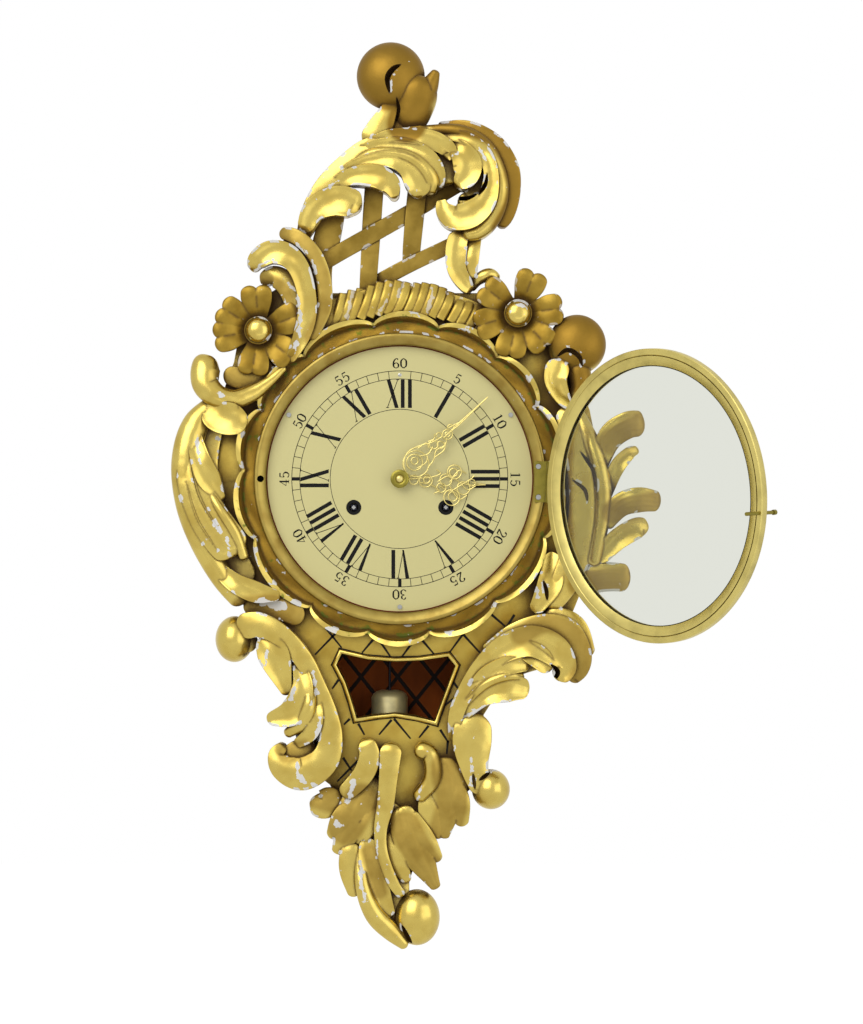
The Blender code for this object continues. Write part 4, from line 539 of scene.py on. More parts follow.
def lath_gilding():
    """Gilding on the rough laths of the crest."""
    return shared("lath_gilding", lambda n: gilding(n, linear("8E7634"), linear("5C4714"), 0.5, 0.5))


def ribbon_gilding():
    """Gilding on gesso with green specks in its folds."""
    colours = bpy.context.scene.clock_colours
    return shared("ribbon_gilding", lambda n: gilding(
        n, colours.gold, colours.ochre, 0.3, 0.9, 0.8, linear("9C7C2C")))


def shared(name, make):
    """A material that is made once."""
    return bpy.data.materials.get(name) or make(name)


def plain_metal(name, tint, roughness, grain, metallic=1.0):
    """A worn metal: its shine and tint vary in soft patches."""
    def make(given):
        material, tree, shader = fresh_material(given)
        patches = mottle(tree, grain)
        darker = tuple(0.75 * c for c in tint)
        base = add(tree, MIX, add(tree, RAMP, patches, 0.4, 0.8), tuple(tint), darker)
        rough = add(tree, PLUS, roughness, add(tree, TIMES, patches, 0.15))
        set_inputs(tree, shader, Base_Color=base, Metallic=metallic, Roughness=rough)
        return material
    return shared(name, make)


def brass():
    """Lacquered brass of the bezel, hinge and movement."""
    return plain_metal("lacquered_brass", bpy.context.scene.clock_colours.brass, 0.36, 12 * MM)


def steel():
    """Polished steel of arbors, screws and pins."""
    return plain_metal("polished_steel", bpy.context.scene.clock_colours.steel, 0.25, 6 * MM)


def dark_brass():
    """Tarnished brass of the hinge and the hands' nut."""
    return plain_metal("tarnished_brass", linear("857A34"), 0.3, 5 * MM)


def blued_steel():
    """Dark steel of the pendulum rod and the winding arbors."""
    return plain_metal("blued_steel", linear("2A2A30"), 0.35, 5 * MM)


def cream_paint():
    """Cream enamel paint on the dial, faintly clouded."""
    def make(name):
        tint = bpy.context.scene.clock_colours.dial
        material, tree, shader = fresh_material(name)
        base = add(tree, MIX, mottle(tree, 60 * MM, 2.0), tuple(tint), tuple(0.93 * c for c in tint))
        rough = add(tree, PLUS, 0.3, add(tree, TIMES, mottle(tree, 20 * MM), 0.1))
        set_inputs(tree, shader, Base_Color=base, Roughness=rough, Coat_Weight=0.25, Coat_Roughness=0.2)
        return material
    return shared("cream_paint", make)


def dull_paint(name, tint, size, roughness):
    """A dull coat whose tone wanders a little."""
    def make(given):
        material, tree, shader = fresh_material(given)
        base = add(tree, MIX, mottle(tree, size), tuple(tint), tuple(0.55 * c for c in tint))
        set_inputs(tree, shader, Base_Color=base, Roughness=roughness, Specular_IOR_Level=0.15)
        return material
    return shared(name, make)


def ink_and_shade():
    """Black printing ink, also the painted shade of the latch hole and the winding holes."""
    return dull_paint("ink_and_shade", bpy.context.scene.clock_colours.ink_and_shade, 4 * MM, 0.45)


def stained_wood():
    """Brown stained wood of the box, with its grain upright."""
    def make(name):
        tint = bpy.context.scene.clock_colours.walnut
        material, tree, shader = fresh_material(name)
        grain = mottle(tree, 6 * MM, 6.0, (1, 1, 0.08))
        base = add(tree, MIX, add(tree, RAMP, grain, 0.3, 0.7), tuple(tint), tuple(0.45 * c for c in tint))
        bump = add(tree, "ShaderNodeBump", {"Height": grain, "Strength": 0.2, "Distance": 0.5 * MM}, out=0)
        set_inputs(tree, shader, Base_Color=base, Roughness=0.55, Normal=bump)
        return material
    return shared("stained_wood", make)


LATTICE_PITCH = 24.9 * MM
LATTICE_LINE = 3.2 * MM
LATTICE_SLOPE = 1.25
LATTICE_CROSSING = (-2.0 * MM, -133.8 * MM)


def lattice_paint():
    """Brown panel with a diagonal lattice of dark grooves."""
    def make(name):
        colours = bpy.context.scene.clock_colours
        material, tree, shader = fresh_material(name)
        place = add(tree, "ShaderNodeTexCoord", out="Object")
        parts = add(tree, "ShaderNodeSeparateXYZ", place).node.outputs
        across = add(tree, LESS, parts["X"], LATTICE_CROSSING[0])
        up = add(tree, OVER, add(tree, LESS, parts["Z"], LATTICE_CROSSING[1]), LATTICE_SLOPE)
        lines = []
        for way in (PLUS, LESS):
            turn = add(tree, OVER, add(tree, way, across, up), LATTICE_PITCH)
            step = add(tree, FRACTION, add(tree, PLUS, turn, 0.5))
            off = add(tree, MAGNITUDE, add(tree, LESS, step, 0.5))
            share = LATTICE_LINE / LATTICE_PITCH
            lines.append(add(tree, RAMP, off, 0.4 * share, 0.62 * share))
        tile = add(tree, LEAST, *lines)
        grain = mottle(tree, 8 * MM, 4.0, (1, 1, 0.3))
        wood = add(tree, MIX, grain, colours.panel, tuple(0.5 * c for c in colours.panel))
        base = add(tree, MIX, tile, tuple(0.02 * c for c in colours.panel), wood)
        set_inputs(tree, shader, Base_Color=base, Roughness=0.5, Specular_IOR_Level=0.15)
        return material
    return shared("lattice_panel", make)


def window_glass():
    """Clear flat glass, faintly grey, with a soft reflection."""
    def make(name):
        material, tree, shader = fresh_material(name)
        tint = bpy.context.scene.clock_colours.glass
        clear = add(tree, "ShaderNodeBsdfTransparent", {"Color": (*tint, 1.0)}, out=0)
        shine = add(tree, "ShaderNodeBsdfGlossy", {"Roughness": 0.06, "Color": (1, 1, 1, 1)}, out=0)
        haze = add(tree, PLUS, 0.01, add(tree, TIMES, mottle(tree, 70 * MM), 0.03))
        mixed = add(tree, "ShaderNodeMixShader", {0: haze, 1: clear, 2: shine}, out=0)
        tree.links.new(mixed, tree.nodes["Material Output"].inputs["Surface"])
        return material
    return shared("clear_glass", make)


def grid(u, v):
    """A point of the drawing grid as x and z."""
    return (u - GRID_CENTRE[0]) * UNIT, (GRID_CENTRE[1] - v) * UNIT


def finished(name, shape, material):
    """A named object from a bmesh, with its faces turned outwards."""
    bmesh.ops.recalc_face_normals(shape, faces=shape.faces[:])
    mesh = bpy.data.meshes.new(name)
    shape.to_mesh(mesh)
    shape.free()
    obj = bpy.data.objects.new(name, mesh)
    bpy.context.scene.collection.objects.link(obj)
    mesh.materials.append(material)
    return obj


def select(obj):
    bpy.ops.object.select_all(action="DESELECT")
    obj.select_set(True)
    bpy.context.view_layer.objects.active = obj


def modify(obj, kind, **settings):
    """Adds a modifier and applies it."""
    select(obj)
    change = obj.modifiers.new(kind.lower(), kind)
    for name, value in settings.items():
        setattr(change, name, value)
    bpy.ops.object.modifier_apply(modifier=change.name)
    return obj


def smooth(obj, degrees=40):
    select(obj)
    bpy.ops.object.shade_smooth_by_angle(angle=math.radians(degrees))
    return obj


def place(obj, body, *nodes, slot=None):
    """Lets a finished piece ride its body and stand for CAD nodes."""
    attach(obj, body)
    if nodes:
        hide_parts(*nodes)
    return obj


def finish_nodes(material, *nodes):
    """Gives pieces of the frame that stay as they are their material."""
    for node in nodes:
        materials = frame["nodes"][node].data.materials
        materials.clear()
        materials.append(material)


def extrude_outline(shape, outline, back, front):
    """Adds a prism of (x, z) corners between two depths."""
    near = [shape.verts.new((x, -front, z)) for x, z in outline]
    far = [shape.verts.new((x, -back, z)) for x, z in outline]
    shape.faces.new(near)
    shape.faces.new(list(reversed(far)))
    for i in range(len(near)):
        shape.faces.new((near[i - 1], near[i], far[i], far[i - 1]))


def turned(name, profile, material, steps=192, closed=True):
    """A ring or disc of (radius, depth) points spun about the dial's axis."""
    shape = bmesh.new()
    points = [shape.verts.new((radius, -depth, 0)) for radius, depth in profile]
    pairs = list(zip(points, points[1:]))
    if closed:
        pairs.append((points[-1], points[0]))
    edges = [shape.edges.new(pair) for pair in pairs]
    bmesh.ops.spin(shape, geom=points + edges, cent=(0, 0, 0), axis=(0, 1, 0), angle=2 * math.pi, steps=steps,
                   use_merge=True)
    bmesh.ops.remove_doubles(shape, verts=shape.verts[:], dist=1e-6)
    return finished(name, shape, material)


def smoothed(route):
    """Stations along a smooth curve through a route's points."""
    rows = np.array(route, float)
    ends = np.vstack([2 * rows[0] - rows[1], rows, 2 * rows[-1] - rows[-2]])
    stations = []
    for a, b, c, d in zip(ends, ends[1:], ends[2:], ends[3:]):
        for t in np.arange(STATIONS_PER_SPAN) / STATIONS_PER_SPAN:
            stations.append(0.5 * (2 * b + (c - a) * t + (2 * a - 5 * b + 4 * c - d) * t ** 2
                                   + (3 * b - a - 3 * c + d) * t ** 3))
    return np.array(stations + [rows[-1]])


def section_drop(kind, veins, half, height):
    """Shares across a frond from edge to edge, and how far its face lies below the crown there at each station."""
    lip = bpy.context.scene.clock_sizes.lip
    s = np.concatenate([[-1, -0.97], np.linspace(-0.94, 0.94, SECTION_STEPS + 1), [0.97, 1]])
    half, height = half[:, None], height[:, None]
    drop = {
        "dome": np.minimum(0.5 * height, 0.9 * half) * (1 - np.sqrt(1 - 0.96 * s ** 2)),
        "plane": 0.15 * half * s ** 2,
        "flat": 0.03 * half * s ** 2,
        "rib": 0.34 * half * s ** 4,
        "scoop": np.minimum(0.28 * half, 0.3 * height) * (1 - s ** 2),
    }[kind]
    if veins:
        ribs = np.abs(np.cos(math.pi * (veins + 0.5) * s))
        drop = drop + VEIN_DEPTH[kind] * half * (1 - ribs) ** 2 * (1 - s ** 6)
    return s, drop + lip * np.clip((np.abs(s) - 0.95) / 0.05, 0, 1) ** 2


def resampled(stations, blunt):
    """Even stations along a spine, closer at its tips, with the share of the full width that the tips leave."""
    steps = np.hypot(*np.diff(stations[:, :2], axis=0).T)
    run = np.concatenate([[0], np.cumsum(steps)])
    first, last = [min(blunt * w, 0.45 * run[-1]) for w in stations[[0, -1], 2]]
    swing = np.linspace(0, math.pi / 2, TIP_STEPS)
    middle = np.arange(first, run[-1] - last, STATION_STEP)[1:]
    spots = np.concatenate([first * (1 - np.cos(swing)), middle, run[-1] - last * (1 - np.cos(swing[::-1]))])
    rows = np.stack([np.interp(spots, run, column) for column in stations.T], 1)
    near = np.clip(np.minimum(spots / first, (run[-1] - spots) / last), 0, 1)
    return rows, np.sqrt(np.clip(1 - (1 - near) ** 2, 0.01, 1))


def strip(rings):
    """A closed bmesh through rings of points, with flat ends."""
    shape = bmesh.new()
    loops = [[shape.verts.new(point) for point in ring] for ring in rings]
    shape.faces.new(loops[0])
    shape.faces.new(list(reversed(loops[-1])))
    for a, b in zip(loops, loops[1:]):
        for i in range(len(a)):
            shape.faces.new((a[i - 1], b[i - 1], b[i], a[i]))
    return shape


def frond(back, kind, veins, route):
    """One tapering strip of a carving with rounded ends, on the plane at its back."""
    rows = np.array(route, float)
    if rows[0, 2] <= SUNK_WIDTH:
        rows[0, 3] -= SUNK_STEPS
    stations, rounding = resampled(smoothed(rows),
                                   {"flat": 0.15, "rib": 0.2}.get(kind, 0.6 if veins else 0.9))
    half = (np.maximum(stations[:, 2], 1) * UNIT + SPREAD) * rounding
    height = stations[:, 3] * (0.82 + 0.18 * rounding) * RELIEF
    spine = np.array([grid(u, v) for u, v in stations[:, :2]])
    ahead = np.gradient(spine, axis=0)
    ahead /= np.linalg.norm(ahead, axis=1)[:, None]
    turn = np.gradient(ahead, axis=0) / np.linalg.norm(np.gradient(spine, axis=0), axis=1)[:, None]
    bend = ahead[:, 0] * turn[:, 1] - ahead[:, 1] * turn[:, 0]
    room = TIGHTEST / np.maximum(np.abs(bend), 1e-6)
    left = np.where(bend > 0, np.minimum(half, room), half)
    right = np.where(bend < 0, np.minimum(half, room), half)
    side = np.stack([-ahead[:, 1], ahead[:, 0]], 1)
    s, drop = section_drop(kind, veins, half, height)
    rings = []
    for i, (x, z) in enumerate(spine):
        reach = np.where(s > 0, left[i], right[i]) * s
        ring = [(x + side[i, 0] * r, -back - height[i] + d, z + side[i, 1] * r) for r,
                d in zip(reach, drop[i])]
        for r in (UNDERCUT * left[i], -UNDERCUT * right[i]):
            ring.append((x + side[i, 0] * r, -back, z + side[i, 1] * r))
        rings.append(ring)
    return strip(rings)


def ball(back, u, v, half_width, half_height, centre_height, half_depth):
    """A rounded scroll end, planed flat at its back."""
    x, z = grid(u, v)
    shape = bmesh.new()
    scale = Matrix.Diagonal((half_width * UNIT, half_depth * RELIEF, half_height * UNIT, 1))
    bmesh.ops.create_uvsphere(shape, u_segments=64, v_segments=32, radius=1,
                              matrix=Matrix.Translation((x, -back - centre_height * RELIEF, z)) @ scale)
    flat = [vert for vert in shape.verts if vert.co.y > -back]
    for vert in flat:
        vert.co.y = -back
    return shape


def groove(surface, route, width, depth):
    """A tapering gouge cut that follows the face of a carving, or nothing where the face isn't met."""
    spine = np.array([grid(u, v) for u, v in smoothed(route)])
    ahead = np.gradient(spine, axis=0)
    ahead /= np.linalg.norm(ahead, axis=1)[:, None]
    rings = []
    for i, ((x, z), (ax, az)) in enumerate(zip(spine, ahead)):
        hit = surface.ray_cast(Vector((x, -1, z)), Vector((0, 1, 0)))[0]
        if hit is None:
            continue
        share = max(0.12, math.sqrt(4 * i / (len(spine) - 1) * (1 - i / (len(spine) - 1))))
        ring = []
        for step in range(GROOVE_SIDES):
            angle = 2 * math.pi * step / GROOVE_SIDES
            across = width * UNIT * share * math.cos(angle)
            ring.append((x - az * across, hit.y + depth * RELIEF * share * math.sin(angle), z + ax * across))
        rings.append(ring)
    return strip(rings)


def mesh_arrays(mesh):
    """Points, normals and edges as arrays."""
    count = len(mesh.vertices)
    points = np.zeros(count * 3, np.float32)
    mesh.vertices.foreach_get("co", points)
    normals = np.zeros(count * 3, np.float32)
    mesh.vertex_normals.foreach_get("vector", normals)
    edges = np.zeros(len(mesh.edges) * 2, np.int32)
    mesh.edges.foreach_get("vertices", edges)
    return points.reshape(-1, 3).astype(float), normals.reshape(-1, 3).astype(float), edges.reshape(-1, 2)


def away(flat, route):
    """Distance of each (x, z) point from a smooth route on the grid, and how far along it the nearest spot is."""
    spine = np.array([grid(u, v) for u, v in smoothed(route)])
    nearest = np.full(len(flat), np.inf)
    share = np.zeros(len(flat))
    for i, (a, b) in enumerate(zip(spine, spine[1:])):
        along = np.clip(((flat - a) @ (b - a)) / max((b - a) @ (b - a), 1e-12), 0, 1)
        gap = np.linalg.norm(flat - a - along[:, None] * (b - a), axis=1)
        share = np.where(gap < nearest, (i + along) / (len(spine) - 1), share)
        nearest = np.minimum(nearest, gap)
    return nearest, share


def mark_edges(obj):
    """Stores how near each point lies to a sharp edge, where leaf rubs off, and to a crease, where dirt stays and
    shade is painted.
    """
    shape = bmesh.new()
    shape.from_mesh(obj.data)
    found = {"ridge": set(), "hollow": set()}
    rear = max(vert.co.y for vert in shape.verts) - REAR_BAND
    for edge in shape.edges:
        if len(edge.link_faces) == 2 and min(vert.co.y for vert in edge.verts) < rear:
            turn = edge.calc_face_angle_signed()
            if abs(turn) > CREASE:
                found["ridge" if turn > 0 else "hollow"].update(vert.index for vert in edge.verts)
    points = [vert.co.copy() for vert in shape.verts]
    shape.free()
    for name, reach in (("ridge", WORN_REACH), ("hollow", DIRT_AND_SHADE_REACH)):
        tree = KDTree(len(found[name]))
        for index in found[name]:
            tree.insert(points[index], index)
        tree.balance()
        near = [1 - min(1, (tree.find(point)[2] or reach) / reach) if found[name] else 0 for point in points]
        for index in found[name]:
            near[index] = 1
        layer = obj.data.attributes.new(name, "FLOAT", "POINT")
        layer.data.foreach_set("value", near)
    return obj


def mark_zones(obj, label, zones, fade):
    """Stores where the leaf is left unpolished or is lost: 1 inside each zone, fading out at its border."""
    points = mesh_arrays(obj.data)[0]
    share = np.zeros(len(points))
    for route, width in zones:
        inside = (width * UNIT - away(points[:, [0, 2]], route)[0]) / fade + 0.5
        share = np.maximum(share, np.clip(inside, 0, 1))
    layer = obj.data.attributes.new(label, "FLOAT", "POINT")
    layer.data.foreach_set("value", share.astype(np.float32))


def mark_rear(obj):
    """Stores which points lie on the flat back, where the wood is bare."""
    depths = mesh_arrays(obj.data)[0][:, 1]
    layer = obj.data.attributes.new("rear", "FLOAT", "POINT")
    layer.data.foreach_set("value", (depths > depths.max() - REAR_BAND).astype(np.float32))


def combine(body, shape, operation):
    """Joins a closed shape to a body, or cuts it out."""
    part = finished("part", shape, body.data.materials[0])
    before = len(body.data.vertices)
    modify(body, "BOOLEAN", object=part, operation=operation, solver="MANIFOLD")
    if len(body.data.vertices) == before:
        modify(body, "BOOLEAN", object=part, operation=operation, solver="EXACT", use_self=True)
    bpy.data.objects.remove(part)


def carve(name, material, back, fronds=(), balls=(), grooves=(), matt=(), lost=()):
    """A carving: fronds and balls joined into one body, then cut with gouges."""
    shapes = [frond(back, *row) for row in fronds] + [ball(back, *row) for row in balls]
    body = finished(name, shapes[0], material)
    for shape in shapes[1:]:
        combine(body, shape, "UNION")
    for row in grooves:
        surface = BVHTree.FromObject(body, bpy.context.evaluated_depsgraph_get())
        combine(body, groove(surface, *row), "DIFFERENCE")
    mark_edges(body)
    mark_zones(body, "matt", matt, MATT_FADE)
    mark_zones(body, "lost", lost, LOST_FADE)
    mark_rear(body)
    return smooth(body, math.degrees(CREASE))


class CLOCK_OT_carving(bpy.types.Operator):
    """Carves the scrolls, leaves and flowers of the case"""

    bl_idname = "clock.carving"
    bl_label = "Carved ornaments"

    def execute(self, context):
        bright, umber = burnished(), umber_gilding()
        works = (
            ("crest_scroll", umber, CREST_BACK, CREST_FRONDS, CREST_BALLS, CREST_GROOVES, CREST_MATT),
            ("left_shoulder_scroll", bright, GROUND, LEFT_SHOULDER_FRONDS, (), (), LEFT_SHOULDER_MATT),
            ("left_hook_scroll", bright, GROUND, LEFT_HOOK_FRONDS, (), (), LEFT_HOOK_MATT),
            ("right_shoulder_bud", umber, GROUND, RIGHT_BUD_FRONDS, RIGHT_BUD_BALLS, RIGHT_BUD_GROOVES,
             RIGHT_BUD_MATT),
            ("left_side_leaf", bright, GROUND, LEFT_LEAF_FRONDS, (), LEFT_LEAF_GROOVES, LEFT_LEAF_MATT),
            ("right_side_leaf", bright, GROUND, RIGHT_LEAF_FRONDS, (), RIGHT_LEAF_GROOVES, RIGHT_LEAF_MATT),
            ("lower_left_scroll", bright, GROUND, LOWER_LEFT_FRONDS, LOWER_LEFT_BALLS, (), LOWER_LEFT_MATT),
            ("lower_right_scroll", bright, GROUND, LOWER_RIGHT_FRONDS, LOWER_RIGHT_BALLS, LOWER_RIGHT_GROOVES,
             LOWER_RIGHT_MATT),
            ("drop_leaf", bright, GROUND, DROP_FRONDS, DROP_BALLS, DROP_GROOVES, DROP_MATT),
        )
        for name, *work in works:
            carving = carve(name + "_carving", *work, GESSO.get(name, ()))
            place(carving, "case", name, slot="burnished_gilt_wood")
        for name, ((u, v), angles) in FLOWERS.items():
            petals = []
            for angle in map(math.radians, angles):
                du, dv = math.cos(angle), -math.sin(angle)
                for side in (-1, 1):
                    petals.append(("plane", 0, [(u + r * du + side * s * dv, v + r * dv - side * s * du, w, h)
                                                for r, s, w, h in PETAL_HALF]))
            flower = carve(name + "_petals", petal_gilding(), GROUND, petals)
            place(flower, "case", name, slot="matt_gilt_wood")
            self.button(name, u, v, bright)
        return {"FINISHED"}

    def button(self, name, u, v, material):
        """The domed button at a flower's heart, with a shoulder about it."""
        r, h = 14 * UNIT, 16 * RELIEF
        profile = ((r, 0), (r, 0.6 * h), (0.97 * r, 0.68 * h), (0.93 * r, 0.7 * h), (0.9 * r, 0.67 * h),
                   (0.86 * r, 0.7 * h), (0.78 * r, 0.82 * h), (0.62 * r, 0.93 * h), (0.35 * r, 0.985 * h),
                   (0, h))
        button = turned(name + "_button", [(0, GROUND)] + [(a, GROUND + b) for a, b in profile], material,
                        64, False)
        x, z = grid(u, v)
        button.data.transform(Matrix.Translation((x, 0, z)))
        place(mark_edges(smooth(button)), "case", name + "_boss", slot="burnished_gilt_wood")


class CLOCK_OT_trellis(bpy.types.Operator):
    """Sets the crossing laths of the pierced crest"""

    bl_idname = "clock.trellis"
    bl_label = "Crest trellis"

    def execute(self, context):
        back = -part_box("crest_trellis")[1].y
        trellis = carve("crest_laths", lath_gilding(), back, [("flat", 0, bar) for bar in TRELLIS_BARS])
        place(trellis, "case", "crest_trellis", slot="matt_gilt_wood")
        return {"FINISHED"}


class CLOCK_OT_surround(bpy.types.Operator):
    """Turns the seat round the dial and folds the ribbon and the fluted band about it"""

    bl_idname = "clock.surround"
    bl_label = "Dial surround"

    def execute(self, context):
        inner = DIAL_R + 0.3 * MM
        outer = SEAT_OUTER_R - SEAT_SHOWN
        rim = 1.2 * MM
        seat = turned("seat_band", (
            (inner, GROUND), (inner, SEAT_FRONT - 3.0 * rim), (inner + 0.7 * rim, SEAT_FRONT - 2.2 * rim),
            (inner + 2.0 * rim, SEAT_FRONT - 1.4 * rim), (outer - 2.4 * rim, SEAT_FRONT - 0.1 * rim),
            (outer - 1.4 * rim, SEAT_FRONT), (outer - 0.4 * rim, SEAT_FRONT - 0.3 * rim),
            (outer, SEAT_FRONT - rim), (outer, GROUND)), seat_gilding())
        self.latch_hole(seat)
        place(smooth(seat, 60), "case", "dial_seat_ring", slot="burnished_gilt_wood")
        self.ribbon(context.scene.clock_sizes)
        self.band()
        return {"FINISHED"}

    def latch_hole(self, seat):
        """The hole that takes the door's pin, with its walls and a disc behind it painted black as painted shade.
        """
        # Painted shade: the cutter's black goes onto the hole's walls, and the black disc behind stands for the
        # hole's dark depth.
        bpy.ops.mesh.primitive_cylinder_add(vertices=32, radius=2.2 * MM, depth=60 * MM,
                                            rotation=(math.radians(90), 0, 0),
                                            location=(LATCH_X, -SEAT_FRONT, 0))
        cutter = bpy.context.object
        cutter.data.materials.append(ink_and_shade())
        modify(seat, "BOOLEAN", object=cutter, operation="DIFFERENCE", solver="EXACT",
               material_mode="TRANSFER")
        bpy.data.objects.remove(cutter)
        near, far = BOARD_BACK - 0.1 * MM, BOARD_BACK - 0.6 * MM
        painted_hole_shade = turned("latch_painted_shade", ((0, far), (4 * MM, far), (4.4 * MM, near), (0, near)), ink_and_shade(), 32,
                         False)
        painted_hole_shade.data.transform(Matrix.Translation((LATCH_X, 0, 0)))
        place(smooth(painted_hole_shade), "case")

    def ribbon(self, sizes):
        """A ribbon that twists round the ring: each fold's lip runs from the inner edge to the outer one."""
        inner = SEAT_OUTER_R - SEAT_SHOWN + GAP
        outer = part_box("ribbon_moulding")[1].x
        top = -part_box("ribbon_moulding")[0].y - GROUND
        steps, rows = sizes.ribbon_lobes * 36, 22
        rng = np.random.default_rng(5)
        starts = np.arange(sizes.ribbon_lobes) + rng.uniform(-0.14, 0.14, sizes.ribbon_lobes)
        shape = bmesh.new()
        rings = []
        matt = []
        for i in range(steps):
            turn = i / steps * sizes.ribbon_lobes
            lobe = np.searchsorted(starts, turn) - 1
            begin = starts[lobe] if lobe >= 0 else starts[-1] - sizes.ribbon_lobes
            end = starts[lobe + 1] if lobe + 1 < len(starts) else starts[0] + sizes.ribbon_lobes
            phase = (turn - begin) / (end - begin)
            swell = math.sin(math.pi * phase) ** 0.55
            angle = 2 * math.pi * i / steps
            reach = inner + (outer - inner) * (0.48 + 0.52 * swell)
            ring = []
            for j in range(rows):
                t = j / (rows - 1)
                radius = inner + (reach - inner) * t
                rise = min(1, max(0, (t - 0.52) / 0.24))
                lip = rise * rise * (3 - 2 * rise)
                fold = 0.1 * math.sin(2 * math.pi * (phase + 0.4 * t)) * math.sin(math.pi * t)
                height = top * (0.36 + (0.12 + 0.5 * swell) * lip + fold * swell - 0.1 * math.sin(math.pi * t))
                ring.append(shape.verts.new((radius * math.cos(angle), -GROUND - height,
                                             radius * math.sin(angle))))
                matt.append(1 - lip)
            matt += [0, 1]
            for radius in (reach, inner):
                ring.append(shape.verts.new((radius * math.cos(angle), -GROUND, radius * math.sin(angle))))
            rings.append(ring)
        for a, b in zip(rings, rings[1:] + rings[:1]):
            for i in range(len(a)):
                shape.faces.new((a[i - 1], a[i], b[i], b[i - 1]))
        ribbon = finished("twisted_ribbon", shape, ribbon_gilding())
        ribbon.data.attributes.new("matt", "FLOAT", "POINT").data.foreach_set("value", matt)
        mark_edges(smooth(ribbon, math.degrees(CREASE)))
        place(ribbon, "case", "ribbon_moulding", slot="burnished_gilt_wood")

    def band(self):
        """Upright flutes in groups above the dial."""
        fronds = [("flat", 0, ((326, 318, 8, 4), (346, 308, 12, 4), (400, 298, 12, 4), (456, 308, 12, 4),
                               (490, 318, 8, 4)))]
        for first, last, crown in FLUTE_GROUPS:
            width = (last - first) / FLUTES
            for i in range(FLUTES):
                u = first + (i + 0.5) * width
                outer = abs(i - (FLUTES - 1) / 2)
                top = 280 + 0.004 * (u - 396) ** 2 + 0.5 * outer ** 2
                foot = GRID_CENTRE[1] - math.sqrt(RIBBON_UNITS ** 2 - (u - 6 - GRID_CENTRE[0]) ** 2)
                fronds.append(("rib", 0, ((u + 6, top, width / 2, crown - 0.7 * outer),
                                          (u + 2, (top + foot) / 2, width / 2 + 0.2, crown - 0.4 * outer),
                                          (u - 6, foot + 3, width / 2 + 0.2, crown - 1))))
        band = carve("fluted_gallery", tile_gilding(), GROUND, fronds, lost=GESSO["fluted_band"])
        place(band, "case", "fluted_band", slot="matt_gilt_wood")


